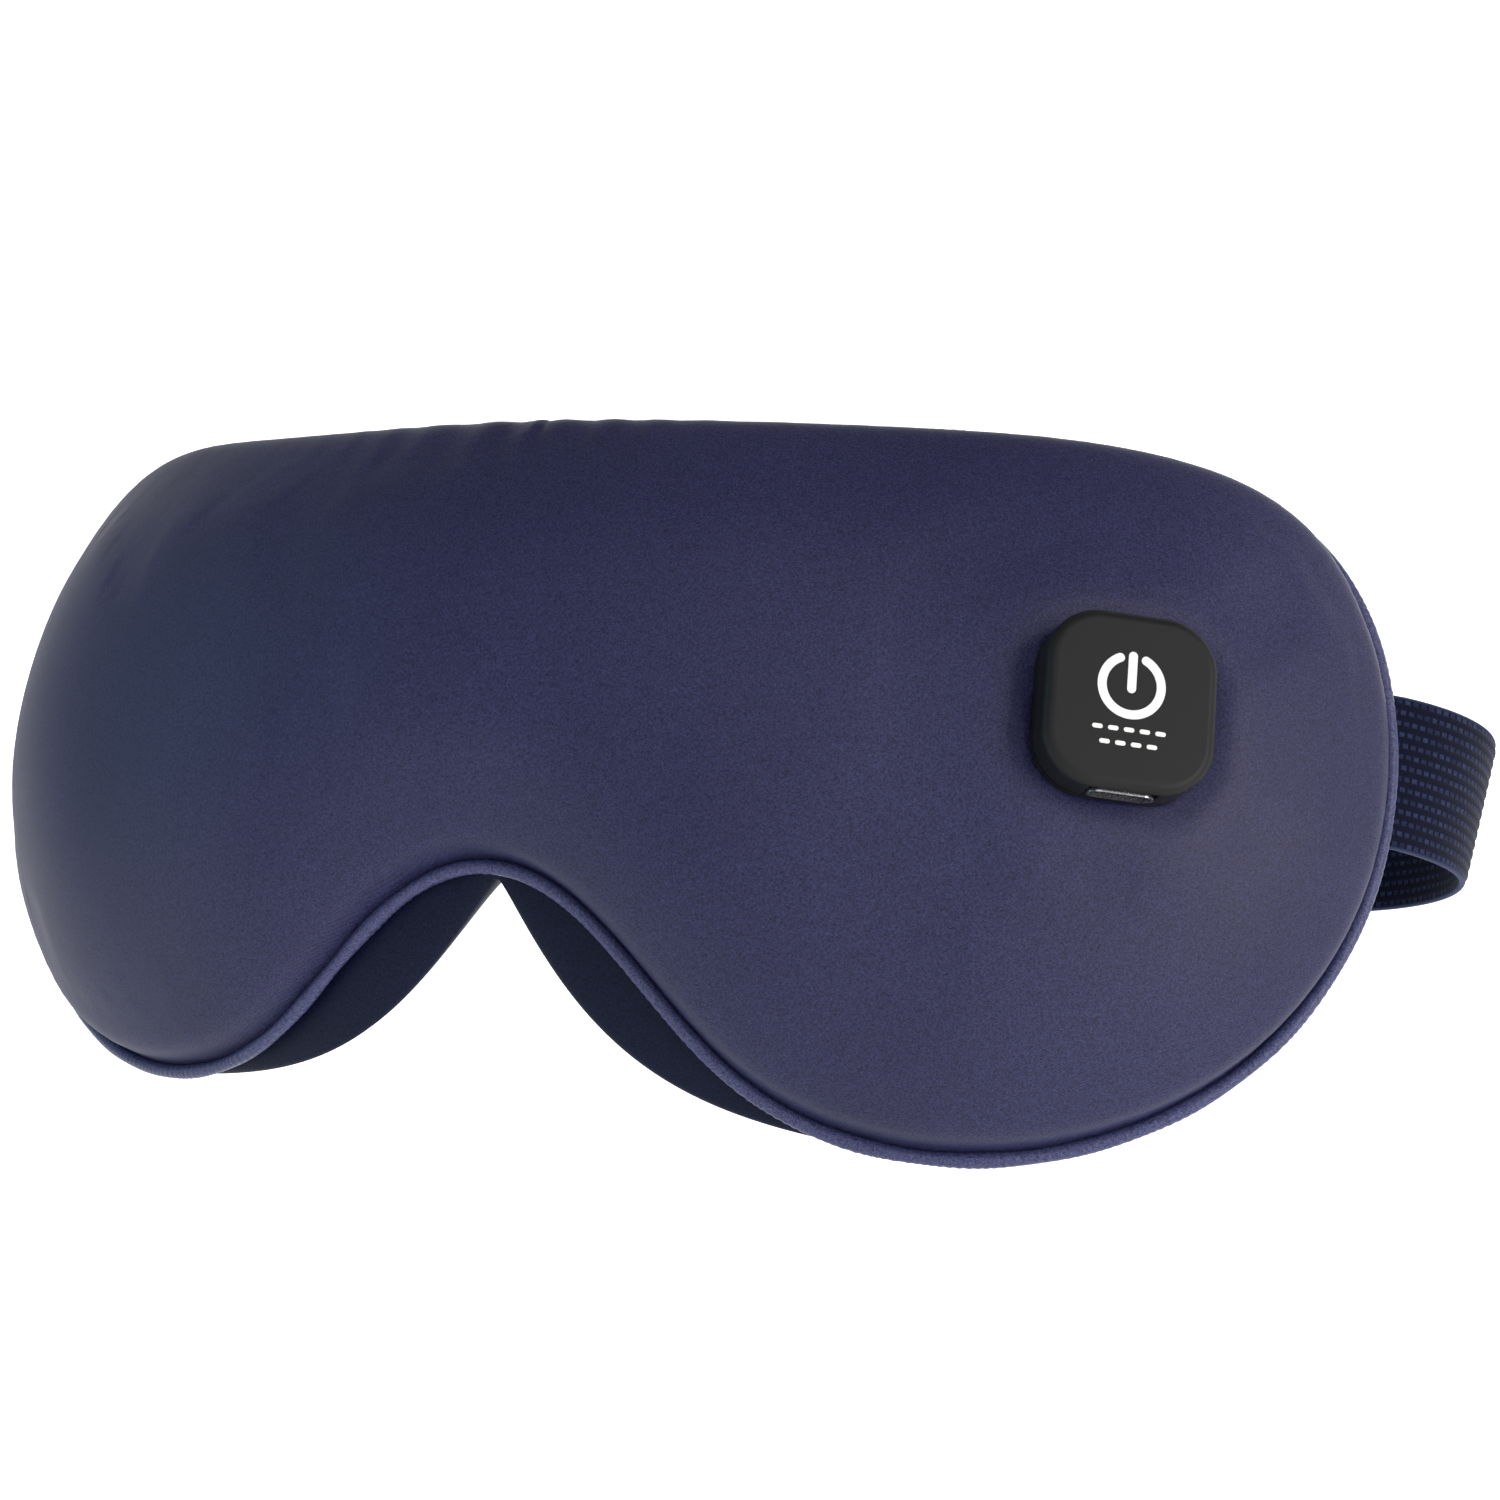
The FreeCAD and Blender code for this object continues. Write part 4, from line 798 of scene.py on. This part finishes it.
def strapFrame(x, y, turn, share, offset=0.0):
    outward = np.array([math.sin(turn), -math.cos(turn), 0])
    height = strap["height"] - strap["drop"] * share
    lean = math.radians(strap["lean"]) * math.sin(math.pi * share)
    up = np.array([0, 0, math.cos(lean)]) + outward * math.sin(lean)
    face = outward * math.cos(lean) - np.array([0, 0, math.sin(lean)])
    return np.array([x, y, height]) - face * offset, face, up


def bandPiece(name, frames, width, gauge, ribs):
    # a ribbed woven band through frames of centre, face and up
    columns = 10 * ribs
    across = np.linspace(-0.5, 0.5, columns + 1)
    ridge = strap["ridge"] * np.cos(2 * np.pi * across * ribs)
    edge = np.maximum(0.35, np.sqrt(np.maximum(0, 1 - (2 * np.abs(across)) ** 24)))
    outer = np.stack([across * width, (gauge / 2 + ridge) * edge], 1)
    inner = outer[::-1] * [1, -1]
    profile = np.vstack([outer, inner])
    rings = []
    for centre, face, up in frames:
        rings.append(centre + profile[:, :1] * up + profile[:, 1:] * face)
    points = np.array(rings) * mm
    faces = gridFaces(len(frames), len(profile), closedColumns=True)
    last = (len(frames) - 1) * len(profile)
    faces.append(tuple(range(len(profile)))[::-1])
    faces.append(tuple(range(last, last + len(profile))))
    piece = meshObject(name, points.reshape(-1, 3), faces)
    steps = [np.linalg.norm(b[0] - a[0]) for a, b in zip(frames, frames[1:])]
    lengths = np.concatenate([[0], np.cumsum(steps)])
    layer = piece.data.uv_layers.new(name="stripUV")
    girth = np.concatenate([across * width, across[::-1] * width])
    uv = np.zeros((len(piece.data.loops), 2))
    for loop in piece.data.loops:
        row, column = divmod(loop.vertex_index, len(profile))
        uv[loop.index] = lengths[row], girth[column]
    layer.data.foreach_set("uv", uv.ravel())
    piece.data.materials.append(elastic)
    return piece


def wrapFrames(middle, face, up, along, radius, first, last, steps=16):
    # frames that turn round a bar
    frames = []
    for angle in np.radians(np.linspace(first, last, steps)):
        spoke = face * math.cos(angle) + along * math.sin(angle)
        frames.append((middle + spoke * radius, spoke, up))
    return frames


def straight(a, b, count):
    # frames between two alike frames
    return [tuple(p + (q - p) * k / count for p, q in zip(a, b)) for k in range(1, count)]


def finishBand(name, frames, width, gauge, ribs, node):
    piece = bandPiece(name, frames, width, gauge, ribs)
    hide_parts(node)
    return piece


def straps():
    bendStart = strap["leadSteps"]
    corner = strapStops(1, strap["leadIn"] + strap["ringSpan"], 0.0)[bendStart]
    runDepth = strapStops(1, strap["leadIn"], strap["radius"])[-1][1]
    leftRadius = (runDepth - corner[1]) / (1 + math.cos(corner[2]))
    rightStops = [strapFrame(*stop) for stop in strapStops(1, strap["leadIn"], strap["radius"])]
    leftStops = strapStops(-1, strap["leadIn"] + strap["ringSpan"], leftRadius)
    tuck = strapFrame(*leftStops[0])
    middle, face, up = strapFrame(*leftStops[bendStart])
    along = (middle - tuck[0]) / np.linalg.norm(middle - tuck[0])
    sideways = np.array([1.0, 0, 0])
    wire = strap["wireRadius"] + strap["fit"]
    gauge = strap["returnGauge"]
    narrow, fewer = strap["width"] - 1, strap["ribs"] - 1

    # the long band, from the sewn end round the head to the ring
    left = [strapFrame(*stop) for stop in leftStops[bendStart:]]
    barRadius = wire + strap["gauge"] / 2
    frames = rightStops + straight(rightStops[-1], left[-1], 60) + left[::-1]
    frames += wrapFrames(middle - face * barRadius, face, up, -along, barRadius, 15, 180)
    main = finishBand("elasticStrap", frames, strap["width"], strap["gauge"], strap["ribs"], "elastic_strap")
    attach(main, "mask")

    # doubled layer from the ring back to the slider
    start = 2 * barRadius
    beside = (strap["gauge"] + gauge) / 2 + strap["layerGap"]
    returning = []
    for stop in leftStops[bendStart:]:
        share = min(1.0, stop[3] / strap["joinShare"])
        returning.append(strapFrame(*stop, offset=start + (beside - start) * share))
    sliderX = (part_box("strap_slider")[0][0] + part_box("strap_slider")[1][0]) / 2 / mm
    loopRadius = strap["sliderBar"] + strap["fit"] + gauge / 2
    run, runFace, runUp = returning[-1]
    sliderBar = np.array([sliderX, run[1] - loopRadius, run[2]])
    loop = wrapFrames(sliderBar, runFace, runUp, sideways, loopRadius, 0, 180)
    returning += straight(returning[-1], loop[0], 24) + loop
    # the sewn tail lies on the layer in front of it
    tail = np.array([sliderX - strap["tail"], run[1] - gauge - 0.15, run[2]])
    returning.append((tail + np.array([3, -0.25, 0]), -runFace, runUp))
    returning.append((tail, -runFace, runUp))
    second = finishBand("strapReturn", returning, narrow, gauge, fewer, "strap_return")
    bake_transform(second)
    tack = acrossBand(tail + np.array([5.5, -0.5, 0]), -runFace, runUp, sideways, gauge / 2 + 0.1, 8.0,
                      (-1.4, 1.4))
    sewn("sliderTack", tack, "slider")

    # short tab that holds the ring
    tabRadius = wire + gauge / 2
    tabBar = middle - along * strap["ringSpan"] - face * barRadius
    level = tabBar + face * tabRadius
    begin = tuck[0] + face * np.dot(level - tuck[0], face)
    tab = [(begin, face, up)]
    tab += straight(tab[0], (level, face, up), 8)
    tab += wrapFrames(tabBar, face, up, along, tabRadius, 0, 180)
    tab.append((tabBar - face * tabRadius - along * 5.0, -face, up))
    third = finishBand("ringTab", tab, narrow, gauge, fewer, "strap_tab")
    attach(third, "mask")
    tack = acrossBand(level - along * 2.2, face, up, along, gauge / 2 + 0.1, 8.5, (-1.2, 1.2))
    sewn("tabTack", tack, "mask")


straps()
print("straps ready")

# degrees and millimetres, about the middle of the bridge
view = dict(azimuth=23.94, elevation=-10.0, roll=6.67, distance=319.8, across=35.32, rise=-0.85,
            lens=53.7336, sensor=36)


def placeCamera():
    az, el, roll = (math.radians(view[key]) for key in ("azimuth", "elevation", "roll"))
    backward = Vector((math.sin(az) * math.cos(el), -math.cos(az) * math.cos(el), math.sin(el)))
    right = Vector((math.cos(az), math.sin(az), 0))
    up = backward.cross(right)
    rolledRight = right * math.cos(roll) + up * math.sin(roll)
    rolledUp = -right * math.sin(roll) + up * math.cos(roll)
    spot = backward * view["distance"] + rolledRight * view["across"] + rolledUp * view["rise"]
    spot += Vector((0, -mask["faceDepth"], 0))
    data = bpy.data.cameras.new("studioCamera")
    data.sensor_width = view["sensor"]
    data.lens = view["lens"]
    data.clip_start = 0.01
    camera = bpy.data.objects.new("studioCamera", data)
    bpy.context.scene.collection.objects.link(camera)
    matrix = Matrix((rolledRight, rolledUp, backward)).transposed().to_4x4()
    matrix.translation = spot * mm
    camera.matrix_world = matrix
    bpy.context.scene.camera = camera


# in metres
sweepShape = dict(nearEnd=-4.0, bend=1.2, radius=0.8, floor=-0.32, top=4.0, halfWidth=5.0, steps=12)


def backdrop():
    # a pale floor that sweeps up into a wall
    bend, radius, floor = sweepShape["bend"], sweepShape["radius"], sweepShape["floor"]
    profile = [(sweepShape["nearEnd"], floor), (bend, floor)]
    for k in range(1, sweepShape["steps"] + 1):
        angle = math.pi / 2 * k / sweepShape["steps"]
        profile.append((bend + radius * math.sin(angle), floor + radius * (1 - math.cos(angle))))
    profile.append((bend + radius, sweepShape["top"]))
    sides = (-sweepShape["halfWidth"], sweepShape["halfWidth"])
    points = [(x, y, z) for x in sides for y, z in profile]
    count = len(profile)
    faces = [(i, i + count, i + count + 1, i + 1) for i in range(count - 1)]
    sweep = meshObject("studioSweep", points, faces)
    # matt white paint that glows a little more the further back it is, so that the ground stays white
    material, tree, shader = newMaterial("paintedSweep", {
        "Base Color": hexColour("#F3F3F3"), "Roughness": 0.9, "Emission Color": hexColour("#FFFFFF")})
    coords = addNode(tree, "ShaderNodeTexCoord").outputs["Object"]
    depth = addNode(tree, "ShaderNodeSeparateXYZ", {}, {"Vector": coords}).outputs["Y"]
    glow = addNode(tree, "ShaderNodeMapRange", {"in:1": 0.2, "in:2": 1.2, "in:3": 0.3, "in:4": 0.9},
                   {"Value": depth})
    tree.links.new(glow.outputs["Result"], shader.inputs["Emission Strength"])
    sweep.data.materials.append(material)


# each lamp's place, aim and size in metres, its power in watts and its linear colour
lamps = dict(
    frontSoft=((0.35, -1.25, 0.5), (0, 0, 0), (1.2, 0.9), 3.7, (1, 1, 1)),
    leftSoft=((-0.9, -0.4, 0.15), (-0.05, 0, 0), (0.5, 0.8), 1.3, (0.32, 0.75, 1.0)),
    rightSoft=((0.95, -0.35, 0.1), (0.05, 0, 0), (0.4, 0.8), 5.6, (1.0, 0.95, 0.92)),
    backSoft=((-0.15, 0.85, 0.3), (0, 0, 0), (0.9, 0.6), 3.0, (1, 1, 1)))
worldStrength = 0.2


def areaLight(name, spot, aim, size, energy, colour):
    data = bpy.data.lights.new(name, "AREA")
    data.shape = "RECTANGLE"
    data.size, data.size_y = size
    data.energy = energy
    data.color = colour
    lamp = bpy.data.objects.new(name, data)
    bpy.context.scene.collection.objects.link(lamp)
    lamp.location = spot
    lamp.rotation_euler = (Vector(aim) - Vector(spot)).to_track_quat("-Z", "Y").to_euler()


def studio():
    world = bpy.data.worlds.new("studioWorld")
    bpy.context.scene.world = world
    world.use_nodes = True
    background = world.node_tree.nodes["Background"]
    background.inputs["Color"].default_value = hexColour("#FFFFFF")
    background.inputs["Strength"].default_value = worldStrength
    for name, lamp in lamps.items():
        areaLight(name, *lamp)
    bpy.context.scene.view_settings.view_transform = "Standard"


placeCamera()
backdrop()
studio()
print("studio ready")
